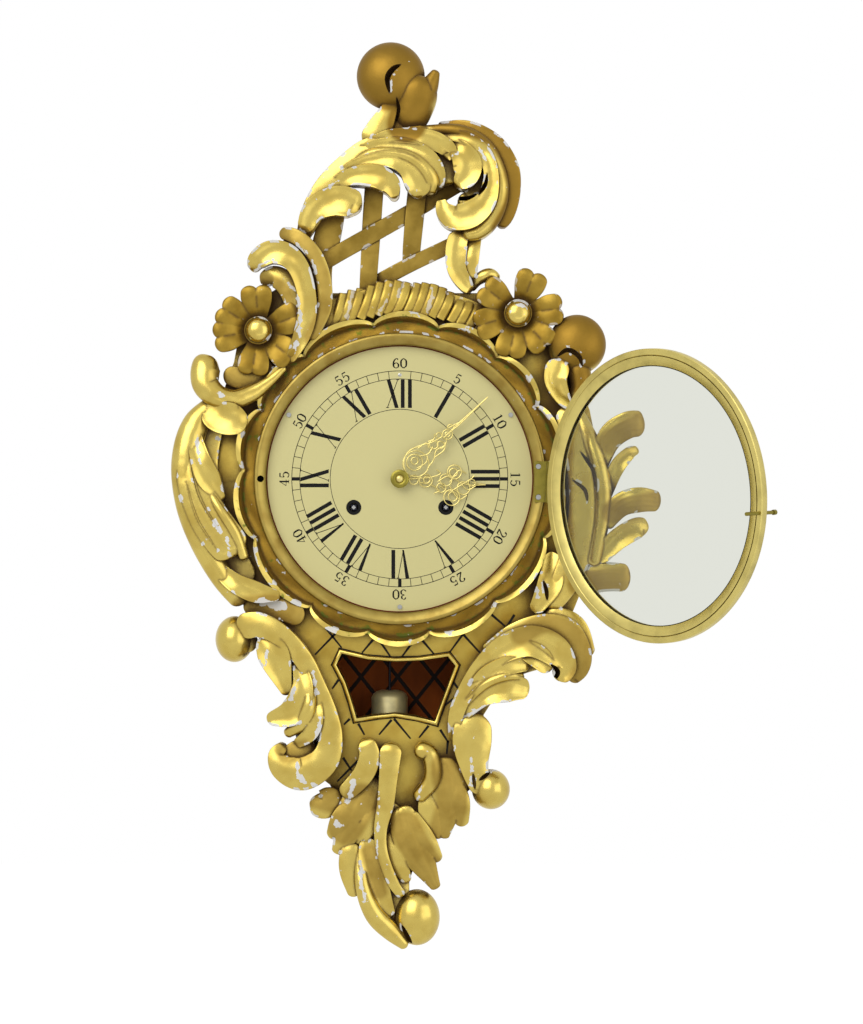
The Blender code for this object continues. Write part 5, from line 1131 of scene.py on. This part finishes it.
class CLOCK_OT_case(bpy.types.Operator):
    """Saws the board, its window and bead, and joins the box behind it"""

    bl_idname = "clock.case"
    bl_label = "Case"

    def execute(self, context):
        edge = context.scene.clock_sizes.edge
        mark_rear(self.sawn("case_board", "gilt_board", edge, tile_gilding(), "matt_gilt_wood"))
        lines = bmesh.new()
        for (u0, v0), (u1, v1) in TILE_LINES:
            self.score(lines, grid(u0, v0), grid(u1, v1), 1.25 * UNIT)
        rim = [grid(u, v) for u, v in WINDOW_OUTLINE]
        outer = self.grown(rim, 3.1 * MM)
        for a, b in zip(outer, outer[1:] + outer[:1]):
            self.score(lines, a, b, 0.8 * UNIT)
        place(finished("tile_scoring", lines, ink_and_shade()), "case")
        self.bead(rim, edge)
        for node, name in (("back_box", "box_sides"), ("rear_cover", "box_cover")):
            self.sawn(node, name, edge, stained_wood(), "brown_wood")
        finish_nodes(lattice_paint(), "lattice_board")
        self.hanger()
        return {"FINISHED"}

    def score(self, shape, a, b, half):
        """A dark line scored in the board."""
        a, b = Vector(a), Vector(b)
        ahead = (b - a).normalized()
        side = Vector((-ahead.y, ahead.x)) * half
        outline = [a + side - ahead * half, a - side - ahead * half, b - side * 0.6 + ahead * half,
                   b + side * 0.6 + ahead * half]
        extrude_outline(shape, outline, BOARD_FRONT - 0.2 * MM, BOARD_FRONT + 0.12 * MM)

    def grown(self, outline, distance):
        """An outline moved outwards."""
        grown = []
        for i, point in enumerate(outline):
            here = Vector(point)
            before = (here - Vector(outline[i - 1])).normalized()
            after = (Vector(outline[(i + 1) % len(outline)]) - here).normalized()
            mitre = Vector((-before.y - after.y, before.x + after.x)).normalized()
            mitre /= max(0.4, math.sqrt((1 + before.dot(after)) / 2))
            grown.append(tuple(here + mitre * distance))
        return grown

    def bead(self, rim, edge):
        """The half-round bead about the window."""
        shape = bmesh.new()
        loops = []
        front = -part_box("window_frame")[0].y
        for out, depth in ((0, GROUND - 0.2 * MM), (2.8, GROUND - 0.2 * MM), (2.8, GROUND + 1.4 * MM),
                           (2.2, front - 0.3 * MM), (1.4, front), (0.6, front - 0.3 * MM),
                           (0, GROUND + 1.4 * MM)):
            loops.append([shape.verts.new((x, -depth, z)) for x, z in self.grown(rim, out * MM)])
        for a, b in zip(loops, loops[1:] + loops[:1]):
            for i in range(len(a)):
                shape.faces.new((a[i - 1], a[i], b[i], b[i - 1]))
        bead = smooth(finished("window_bead", shape, burnished()), 60)
        place(bead, "case", "window_frame", slot="burnished_gilt_wood")

    def sawn(self, node, name, edge, material, slot):
        """A copy of a sawn board of the frame with its edges eased."""
        copy = frame["nodes"][node].copy()
        copy.data = copy.data.copy()
        copy.name = name
        copy.parent = None
        for key in list(copy.keys()):
            del copy[key]
        bpy.context.scene.collection.objects.link(copy)
        copy.data.materials.clear()
        copy.data.materials.append(material)
        modify(copy, "WELD", merge_threshold=1e-6)
        modify(copy, "BEVEL", width=edge, segments=2, limit_method="ANGLE", angle_limit=math.radians(30))
        return place(smooth(copy), "case", node, slot=slot)

    def hanger(self):
        """The steel hanger and the two screws that hold it."""
        finish_nodes(steel(), "hanger_plate")
        low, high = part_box("hanger_plate")
        shape = bmesh.new()
        for side in (-1, 1):
            x = side * (high.x - 6 * MM)
            z = (low.z + high.z) / 2
            for half in (-1, 1):
                turns = np.linspace(-1.42, 1.42, 14)
                arc = [(half * 2.5 * MM * math.cos(a), 2.5 * MM * math.sin(a)) for a in turns]
                extrude_outline(shape, [(x + a, z + b) for a, b in arc], -0.15 * MM, 0.5 * MM)
        place(smooth(finished("hanger_screws", shape, dark_brass())), "case")


# Outer radius of the black painted shade round each winding hole
HOLE_SHADE_R = 5.0 * MM
NUMERALS = ("XII", "I", "II", "III", "IIII", "V", "VI", "VII", "VIII", "IX", "X", "XI")
TRACK = (100, 108)
NUMERAL_BAND = (71, 99.5)
FIGURE_R = 110.8
FIGURE_H = 9.6
FIGURE_W = 6.2
FIGURE_GAP = 1.5
# Pen strokes of the figures in a cell 0.6 wide and 1 high: route, thick and thin widths in grid units
PEN_STROKES = {
    "0": ((((0.3, 1), (0.08, 0.8), (0.04, 0.5), (0.08, 0.2), (0.3, 0)), 1.7, 0.5),
          (((0.3, 1), (0.52, 0.8), (0.56, 0.5), (0.52, 0.2), (0.3, 0)), 1.7, 0.5)),
    "1": ((((0.32, 1), (0.32, 0)), 1.6, 0.5), (((0.32, 0.98), (0.14, 0.86)), 0.6, 0.5),
          (((0.1, 0.02), (0.54, 0.02)), 0.5, 0.5)),
    "2": ((((0.06, 0.74), (0.12, 0.92), (0.3, 1), (0.5, 0.88), (0.5, 0.68), (0.34, 0.42), (0.06, 0.06)), 1.5,
           0.5),
          (((0.04, 0.07), (0.54, 0.07)), 1.3, 1.3), (((0.53, 0.05), (0.56, 0.28)), 0.6, 0.5)),
    "3": ((((0.08, 0.82), (0.24, 1), (0.46, 0.9), (0.46, 0.66), (0.22, 0.55)), 1.5, 0.5),
          (((0.22, 0.55), (0.5, 0.44), (0.53, 0.16), (0.3, 0), (0.06, 0.16)), 1.6, 0.5)),
    "4": ((((0.42, 1), (0.42, 0)), 1.6, 0.5), (((0.42, 1), (0.02, 0.3)), 0.6, 0.5),
          (((0.02, 0.3), (0.6, 0.3)), 0.5, 0.5), (((0.24, 0.02), (0.6, 0.02)), 0.5, 0.5)),
    "5": ((((0.14, 0.94), (0.5, 0.94)), 1.2, 1.2), (((0.14, 0.96), (0.1, 0.5)), 0.6, 0.5),
          (((0.1, 0.5), (0.3, 0.62), (0.53, 0.46), (0.53, 0.2), (0.32, 0), (0.06, 0.14)), 1.6, 0.5)),
    "6": ((((0.5, 0.88), (0.36, 1), (0.14, 0.8), (0.05, 0.46), (0.1, 0.14), (0.3, 0)), 1.6, 0.5),
          (((0.3, 0), (0.52, 0.14), (0.52, 0.4), (0.32, 0.56), (0.1, 0.4)), 1.6, 0.5)),
}


class CLOCK_OT_dial(bpy.types.Operator):
    """Paints the dial and prints its figures"""

    bl_idname = "clock.dial"
    bl_label = "Dial"

    def execute(self, context):
        high = context.scene.clock_sizes.print_height
        finish_nodes(cream_paint(), "dial_plate")
        shape = bmesh.new()
        for radius, half in ((69.6, 0.28), (TRACK[0], 0.28), (TRACK[1], 0.32)):
            self.circle(shape, radius, half, high)
        for minute in range(1, 60):
            half = 1.7 if minute % 5 == 0 else 0.3
            corners = [(-half, TRACK[0]), (half, TRACK[0]), (half, TRACK[1]), (-half, TRACK[1])]
            self.bar(shape, 6 * minute, corners, high)
        for hour, numeral in enumerate(NUMERALS):
            for stroke in self.strokes(numeral):
                self.bar(shape, 30 * hour, stroke, high)
        self.figures(shape, high)
        place(finished("dial_print", shape, ink_and_shade()), "case")
        self.gap_shadow_line(high)
        self.top_pin()
        self.winding_hole_shades()
        finish_nodes(steel(), "dial_pin_1", "dial_pin_2", "dial_pin_3")
        return {"FINISHED"}

    def circle(self, shape, radius, half, high):
        steps = 180
        loops = []
        for r, depth in ((radius - half, 0), (radius + half, 0), (radius + half, high),
                         (radius - half, high)):
            turns = [2 * math.pi * i / steps for i in range(steps)]
            loops.append([shape.verts.new((r * UNIT * math.cos(a), -DIAL_FRONT - depth,
                                           r * UNIT * math.sin(a)))
                          for a in turns])
        for a, b in zip(loops, loops[1:] + loops[:1]):
            for i in range(steps):
                shape.faces.new((a[i - 1], a[i], b[i], b[i - 1]))

    def bar(self, shape, degrees, outline, high):
        """A polygon drawn at twelve o'clock and turned clockwise."""
        a = math.radians(degrees)
        corners = [((x * math.cos(a) + y * math.sin(a)) * UNIT, (y * math.cos(a) - x * math.sin(a)) * UNIT)
                   for x, y in outline]
        extrude_outline(shape, corners, DIAL_FRONT, DIAL_FRONT + high)

    def strokes(self, numeral):
        """The thick and thin strokes of a Roman numeral, centred."""
        low, high = NUMERAL_BAND
        thick, thin, step = 1.9, 0.35, 7.2
        advance = {"I": step, "V": 13.0, "X": 13.0}
        x = -sum(advance[c] for c in numeral) / 2
        found = []
        for c in numeral:
            wide = advance[c]
            mid, end = x + wide / 2, x + wide
            if c == "I":
                found.append([(mid - thick, low), (mid + thick, low), (mid + thick, high),
                              (mid - thick, high)])
            if c == "V":
                found.append([(mid - 0.5, low), (mid + 1.2, low), (x + 2 * thick + 0.6, high),
                              (x + 0.6, high)])
                found.append([(mid - thin, low), (mid + thin, low), (end - 1.2 + thin, high),
                              (end - 1.2 - thin, high)])
                found.append([(end - 2.6, high - 0.7), (end, high - 0.7), (end, high), (end - 2.6, high)])
            if c == "X":
                found.append([(end - 2 * thick - 0.4, low), (end - 0.4, low), (x + 2 * thick + 0.4, high),
                              (x + 0.4, high)])
                found.append([(x + 1.2 - thin, low), (x + 1.2 + thin, low), (end - 1.2 + thin, high),
                              (end - 1.2 - thin, high)])
                found.append([(x, low), (x + 2.8, low), (x + 2.8, low + 0.7), (x, low + 0.7)])
                found.append([(end - 2.8, high - 0.7), (end, high - 0.7), (end, high), (end - 2.8, high)])
            x += wide
        return found

    def figures(self, shape, high):
        """The minutes round the edge, their feet towards the centre."""
        for hour in range(1, 13):
            digits = str(5 * hour)
            x = -(len(digits) * FIGURE_W + (len(digits) - 1) * FIGURE_GAP) / 2
            for digit in digits:
                for route, thick, thin in PEN_STROKES[digit]:
                    points = smoothed(route) * (FIGURE_W / 0.6, FIGURE_H) + (x, FIGURE_R)
                    ahead = np.gradient(points, axis=0)
                    ahead /= np.linalg.norm(ahead, axis=1)[:, None]
                    half = (thin + (thick - thin) * np.abs(ahead[:, 1:]) ** 1.5) / 2
                    side = np.stack([-ahead[:, 1], ahead[:, 0]], 1) * half
                    for i in range(len(points) - 1):
                        corners = (points[i] + side[i], points[i] - side[i], points[i + 1] - side[i + 1],
                                   points[i + 1] + side[i + 1])
                        self.bar(shape, 30 * hour, corners, high)
                x += FIGURE_W + FIGURE_GAP

    def winding_hole_shades(self):
        """Black rings painted round the winding arbors as the shade of the winding holes, and the squares that
        take the key.
        """
        for node, body in (("going_winding_arbor", "going_winding"),
                           ("strike_winding_arbor", "strike_winding")):
            low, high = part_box(node)
            x, z = (low.x + high.x) / 2, (low.z + high.z) / 2
            front, r = DIAL_FRONT + 0.35 * MM, high.x - x
            ring = turned(node + "_hole_shade", ((r + GAP, DIAL_FRONT), (HOLE_SHADE_R, DIAL_FRONT),
                                             (HOLE_SHADE_R - 0.2 * MM, front), (r + 2 * GAP, front)), ink_and_shade(), 48)
            ring.data.transform(Matrix.Translation((x, 0, z)))
            place(smooth(ring), "case")
            finish_nodes(blued_steel(), node)
            bpy.ops.mesh.primitive_cylinder_add(vertices=4, radius=0.62 * r, depth=0.5 * MM,
                                                location=(x, low.y - 0.2 * MM, z),
                                                rotation=(math.radians(90), 0, 0))
            square = bpy.context.object
            square.name = node + "_square"
            bpy.ops.object.transform_apply(location=True, rotation=True, scale=True)
            square.data.materials.append(steel())
            modify(square, "BEVEL", width=0.12 * MM, segments=2)
            place(square, body)

    def top_pin(self):
        """The small pin in the minute track at sixty."""
        pin = turned("track_pin", ((0, DIAL_FRONT), (1.2 * MM, DIAL_FRONT), (1.2 * MM, DIAL_FRONT + 0.1 * MM),
                                   (0.8 * MM, DIAL_FRONT + 0.3 * MM), (0, DIAL_FRONT + 0.34 * MM)), steel(),
                                   24, False)
        pin.data.transform(Matrix.Translation((0, 0, sum(TRACK) / 2 * UNIT)))
        place(smooth(pin), "case")

    def gap_shadow_line(self, high):
        """A painted shadow: the dark red line in the gap where the dial meets its seat."""
        inner, outer, front = DIAL_R - 0.55 * MM, DIAL_R + 0.2 * MM, DIAL_FRONT + high
        line = turned("dial_gap_shadow", ((inner, DIAL_FRONT), (outer, DIAL_FRONT), (outer, front),
                                         (inner, front)),
                      dull_paint("red_gap_shadow", linear("6B2A10"), 5 * MM, 0.5))
        place(line, "case")


# Filigree of the hands: (distance along, offset, radius) of rings, then routes of (distance along, offset)
HOUR_RINGS = ((14, 0, 4.6), (26, 0, 6.4), (27, 1, 3.2), (54, 10.5, 7), (53, -15, 8), (64, -5, 6.4),
              (46, 2, 6),
              (42, -6, 4.6), (72, 1, 3.4), (53, 10, 4), (54, -14, 4.6))
HOUR_ROUTES = (
    ((8, 0), (20, 2), (32, 4), (40, 8), (36, 12)), ((20, -2), (32, -4), (40, -9), (35, -12)),
    ((38, 0), (48, 6), (58, 2), (68, -6), (76, -2)), ((40, -4), (50, -9), (60, -3), (70, 4), (74, 8)),
    ((60, 0), (72, -1.2), (86, 0)), ((72, 1.4), (86, 0)), ((50, 0), (58, 12), (66, 10)),
    ((50, -4), (60, -16), (68, -12)),
)
MINUTE_RINGS = ((22, 0, 13), (22, 2, 8), (23, 3, 3.4), (48, 2, 4.4), (53, -3, 3.6), (65, 0, 5), (65, 0, 2.4),
                (72, 3, 3), (58, 5, 2.8))
MINUTE_ROUTES = (
    ((8, 0), (14, 9), (24, 14), (36, 11), (48, 5), (60, 2)),
    ((28, -11), (38, -9), (46, -4), (56, -6), (62, -2)),
    ((34, 10), (44, 8), (42, 3)), ((40, -8), (52, -9), (58, -4)), ((46, 8), (52, 6), (56, 9)),
    ((60, 0), (80, 0.6), (100, 0.3), (120, 0)), ((68, 0), (82, -0.8), (118, 0)), ((70, 4), (78, 2), (84, 0)),
    ((30, 3), (38, -1), (46, 1)), ((20, -4), (30, -6), (36, -2)),
)


class CLOCK_OT_hands(bpy.types.Operator):
    """Pierces the filigree hands and turns the nut that holds them"""

    bl_idname = "clock.hands"
    bl_label = "Hands"

    def execute(self, context):
        sizes = context.scene.clock_sizes
        pale = plain_metal("gilt_brass", linear("C8B872"), 0.28, 5 * MM)
        for name, body, rings, routes, degrees in (
                ("hour_hand", "hour_pipe", HOUR_RINGS, HOUR_ROUTES, 93.9),
                ("minute_hand", "minute_arbor", MINUTE_RINGS, MINUTE_ROUTES, 47.1)):
            low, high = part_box(name)
            depth = -(low.y + high.y) / 2
            curve = bpy.data.curves.new(name + "_filigree", "CURVE")
            curve.dimensions = "3D"
            curve.bevel_depth = sizes.wire / 2
            curve.bevel_resolution = 2
            curve.use_fill_caps = True
            a = math.radians(degrees)
            for along, off, radius in rings:
                turns = [2 * math.pi * i / 24 for i in range(24)]
                points = [(along + radius * math.cos(t), off + radius * math.sin(t)) for t in turns]
                self.spline(curve, points, a, depth, True)
            for route in routes:
                points = smoothed([(s, o, 0, 0) for s, o in route])[:, :2]
                self.spline(curve, points, a, depth, False)
            obj = bpy.data.objects.new(name + "_filigree", curve)
            bpy.context.scene.collection.objects.link(obj)
            select(obj)
            bpy.ops.object.convert(target="MESH")
            hand = bpy.context.object
            hand.data.materials.append(pale)
            back, front = depth - 0.4 * MM, depth + 0.4 * MM
            hub = turned(name + "_hub", ((2.3 * MM, back), (5.2 * MM, back), (5.2 * MM, depth + 0.3 * MM),
                                         (4.8 * MM, front), (2.3 * MM, front)), pale, 48)
            bpy.ops.object.select_all(action="DESELECT")
            hub.select_set(True)
            hand.select_set(True)
            bpy.context.view_layer.objects.active = hand
            bpy.ops.object.join()
            hand = smooth(bpy.context.object)
            place(hand, body, name, slot="brass")
        low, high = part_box("hand_nut")
        back, front, r = -high.y, -low.y, high.x
        collar = turned("nut_collar", ((0.5 * r, back), (1.16 * r, back), (1.16 * r, back + 0.6 * MM),
                                       (r, back + 1.1 * MM), (0.66 * r, back + 1.1 * MM),
                                       (0.5 * r, back + 0.6 * MM)), dark_brass(), 64)
        place(smooth(collar, 50), "minute_arbor")
        nut = turned("dome_nut", ((0, back), (0.5 * r, back), (0.5 * r, back + 0.8 * MM),
                                  (0.42 * r, back + 1.5 * MM),
                                  (0.24 * r, front - 0.15 * MM), (0, front)), pale, 64, False)
        place(smooth(nut, 30), "minute_arbor", "hand_nut", slot="brass")
        return {"FINISHED"}

    def spline(self, curve, points, a, depth, closed):
        spline = curve.splines.new("POLY")
        spline.points.add(len(points) - 1)
        for slot, (along, off) in zip(spline.points, points):
            x = (along * math.sin(a) - off * math.cos(a)) * UNIT
            z = (along * math.cos(a) + off * math.sin(a)) * UNIT
            slot.co = (x, -depth, z, 1)
        spline.use_cyclic_u = closed


class CLOCK_OT_door(bpy.types.Operator):
    """Turns the brass bezel, sets its glass and swings both open on the hinge"""

    bl_idname = "clock.door"
    bl_label = "Glass door"

    def execute(self, context):
        joint = next(j for j in frame["joints"] if j["name"] == "door_swing")
        pivot = Vector(joint["pos_m"])
        swing = Matrix.Rotation(-math.radians(joint["range_deg"][0]), 4, Vector(joint["axis"]))
        opened = Matrix.Translation(pivot) @ swing @ Matrix.Translation(-pivot)
        back, front = SEAT_FRONT + GAP, SEAT_FRONT + GAP + 6.0 * MM
        r = DIAL_R + 0.5 * MM + 5.4 * MM
        hole = r - 10.8 * MM
        wall = r - 4.4 * MM
        e = 0.5 * MM
        bezel = turned("bezel_rim", (
            (hole, front - 1.2 * MM), (wall, front - 1.2 * MM), (wall, back + e), (wall + e, back),
            (r - e, back), (r, back + e), (r, front - 3 * e), (r - 1.2 * e, front - e), (r - 4 * e, front),
            (hole + 2.4 * e, front), (hole, front - e)), brass(), 256)
        glass_front = front - 1.5 * MM
        glass = turned("glass_pane", ((0, glass_front - 2.0 * MM), (hole + 2.8 * MM, glass_front - 2.0 * MM),
                                      (hole + 3.0 * MM, glass_front - 1.6 * MM),
                                      (hole + 3.0 * MM, glass_front),
                                      (0, glass_front)),
                       window_glass(), 128, False)
        seat = glass_front - 2.3 * MM
        ring = turned("retaining_ring", (
            (hole, seat), (hole, seat - 0.5 * MM), (hole + 0.6 * MM, seat - 0.9 * MM),
            (wall - 2.0 * MM, back + 0.1 * MM),
            (wall - 0.3 * MM, back), (wall - 0.3 * MM, seat)), brass(), 256)
        # Painted shadow: a dark ring at the glass's edge under the bezel's lip, where shade falls.
        shadow = turned("glass_edge_shadow", (
            (hole - 0.5 * MM, seat - 0.05 * MM), (hole + 0.1 * MM, seat - 0.05 * MM),
            (hole + 0.1 * MM, seat - 0.55 * MM), (hole - 0.5 * MM, seat - 0.45 * MM)),
            dull_paint("rim_shadow_paint", linear("2A2412"), 5 * MM, 0.6), 256)
        for obj, nodes in ((bezel, ("bezel_ring",)), (glass, ("bezel_glass",)),
                           (ring, ("glass_retainer",)), (shadow, ())):
            smooth(obj, 40)
            obj.data.transform(opened)
            place(obj, "door", *nodes)
        finish_nodes(dark_brass(), "hinge_leaf_door", "latch_pin", "hinge_leaf_case")
        finish_nodes(steel(), "hinge_pin", "hinge_screw_1", "hinge_screw_2")
        return {"FINISHED"}


class CLOCK_OT_pendulum(bpy.types.Operator):
    """Turns the pendulum bob and finishes the movement"""

    bl_idname = "clock.pendulum"
    bl_label = "Pendulum and movement"

    def execute(self, context):
        low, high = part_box("pendulum_bob")
        middle = (low + high) / 2
        r = (high.x - low.x) / 2
        h = high.z - low.z
        bore = 1.3 * MM
        bob = turned("bob_drum", ((bore, 0), (0.5 * r, 0), (0.74 * r, 0.9 * MM), (0.91 * r, 2.6 * MM),
                                  (r, 5.0 * MM), (r, h - 4.0 * MM), (0.9 * r, h - 2.4 * MM),
                                  (0.72 * r, h - 0.6 * MM), (0.66 * r, h), (bore, h)),
                     plain_metal("satin_brass", linear("ECDFA6"), 0.4, 8 * MM, 0.5), 96)
        upright = Matrix.Rotation(math.radians(90), 4, "X")
        bob.data.transform(Matrix.Translation((middle.x, middle.y, high.z)) @ upright)
        place(smooth(bob, 30), "pendulum", "pendulum_bob", slot="brass")
        finish_nodes(steel(), "movement_strap_upper", "movement_strap_lower", "centre_arbor", "pallets",
                     "rod_gong",
                     "strike_hammer")
        finish_nodes(brass(), "front_plate", "back_plate", "suspension_cock", "hour_wheel", "minute_wheel",
                     "second_wheel", "third_wheel", "going_barrel", "strike_barrel", "escape_wheel")
        finish_nodes(blued_steel(), "pendulum_rod")
        return {"FINISHED"}


FLOOR_SHARE = 0.75
FLOOR_WHITE = 1.22


class CLOCK_OT_stage(bpy.types.Operator):
    """Sets the floor, the lights and the camera"""

    bl_idname = "clock.stage"
    bl_label = "Stage"

    def execute(self, context):
        sizes = context.scene.clock_sizes
        self.floor()
        self.world(context.scene)
        self.area("key_light", (-0.9, -1.6, 1.1), 1.7, 28)
        self.area("fill_light", (1.5, -1.5, 0.2), 1.7, 11)
        self.area("low_light", (0.2, -1.8, -1.3), 1.4, 5.5)
        camera = bpy.data.cameras.new("camera")
        camera.sensor_width = 36
        pixel = 0.66 * MM
        camera.lens = 36 * sizes.camera_distance / (1024 * pixel)
        camera.clip_end = 20
        obj = bpy.data.objects.new("camera", camera)
        obj.location = (31.7 * pixel, -DIAL_FRONT - sizes.camera_distance, -33.1 * pixel)
        obj.rotation_euler = (math.radians(90), 0, 0)
        context.scene.collection.objects.link(obj)
        context.scene.camera = obj
        context.scene.view_settings.view_transform = "Standard"
        return {"FINISHED"}

    def floor(self):
        """A plain pale floor that the camera sees as white as the background."""
        bpy.ops.mesh.primitive_plane_add(size=1.6, location=(0, 0, CAD_BOX[0].z - 0.03))
        floor = bpy.context.object
        floor.name = "floor"
        material, tree, shader = fresh_material("pale_floor")
        set_inputs(tree, shader, Base_Color=(0.8, 0.8, 0.78, 1), Roughness=0.8)
        white = add(tree, "ShaderNodeEmission", {"Color": (1, 1, 1, 1), "Strength": FLOOR_WHITE}, out=0)
        seen = add(tree, TIMES, self.looked_at(tree), FLOOR_SHARE)
        mixed = add(tree, "ShaderNodeMixShader", {0: seen, 1: shader.outputs[0], 2: white}, out=0)
        below = add(tree, "ShaderNodeNewGeometry", out="Backfacing")
        clear = add(tree, "ShaderNodeBsdfTransparent", out=0)
        mixed = add(tree, "ShaderNodeMixShader", {0: below, 1: mixed, 2: clear}, out=0)
        tree.links.new(mixed, tree.nodes["Material Output"].inputs["Surface"])
        floor.data.materials.append(material)

    def looked_at(self, tree):
        """1 for rays from the camera and for those that mirror or pass on its view."""
        path = add(tree, "ShaderNodeLightPath").node.outputs
        seen = add(tree, MOST, path["Is Camera Ray"], path["Is Glossy Ray"])
        return add(tree, MOST, seen, path["Is Transmission Ray"])

    def world(self, scene):
        """White where it is looked at, a soft grey room to everything else."""
        world = bpy.data.worlds.new("studio")
        world.use_nodes = True
        tree = world.node_tree
        tree.nodes.clear()
        room = add(tree, "ShaderNodeBackground", {"Color": (0.95, 0.95, 0.93, 1), "Strength": 0.36}, out=0)
        white = add(tree, "ShaderNodeBackground", {"Color": (1, 1, 1, 1), "Strength": 1.0}, out=0)
        mixed = add(tree, "ShaderNodeMixShader", {0: self.looked_at(tree), 1: room, 2: white}, out=0)
        add(tree, "ShaderNodeOutputWorld", {"Surface": mixed})
        scene.world = world

    def area(self, name, spot, size, power):
        """A soft light aimed at the clock."""
        light = bpy.data.lights.new(name, "AREA")
        light.size = size
        light.energy = power
        obj = bpy.data.objects.new(name, light)
        obj.location = spot
        obj.rotation_euler = (-Vector(spot)).to_track_quat("-Z", "Y").to_euler()
        bpy.context.scene.collection.objects.link(obj)


OPERATORS = (CLOCK_OT_case, CLOCK_OT_surround, CLOCK_OT_carving, CLOCK_OT_trellis, CLOCK_OT_dial,
             CLOCK_OT_hands,
             CLOCK_OT_door, CLOCK_OT_pendulum, CLOCK_OT_stage)


class CLOCK_PT_panel(bpy.types.Panel):
    """Lists the clock's pieces and settings"""

    bl_idname = "CLOCK_PT_panel"
    bl_label = "Giltwood wall clock"
    bl_space_type = "VIEW_3D"
    bl_region_type = "UI"
    bl_category = "Clock"

    def draw(self, context):
        for group in (context.scene.clock_sizes, context.scene.clock_colours):
            for name in group.bl_rna.properties.keys():
                if name not in ("rna_type", "name"):
                    self.layout.prop(group, name)
        for operator in OPERATORS:
            self.layout.operator(operator.bl_idname)


CLASSES = (ClockSizes, ClockColours, *OPERATORS, CLOCK_PT_panel)


def register():
    for cls in CLASSES:
        bpy.utils.register_class(cls)
    bpy.types.Scene.clock_sizes = PointerProperty(type=ClockSizes)
    bpy.types.Scene.clock_colours = PointerProperty(type=ClockColours)


def unregister():
    del bpy.types.Scene.clock_colours
    del bpy.types.Scene.clock_sizes
    for cls in reversed(CLASSES):
        bpy.utils.unregister_class(cls)


def main():
    register()
    for operator in OPERATORS:
        group, name = operator.bl_idname.split(".")
        getattr(getattr(bpy.ops, group), name)()


if __name__ == "__main__":
    main()
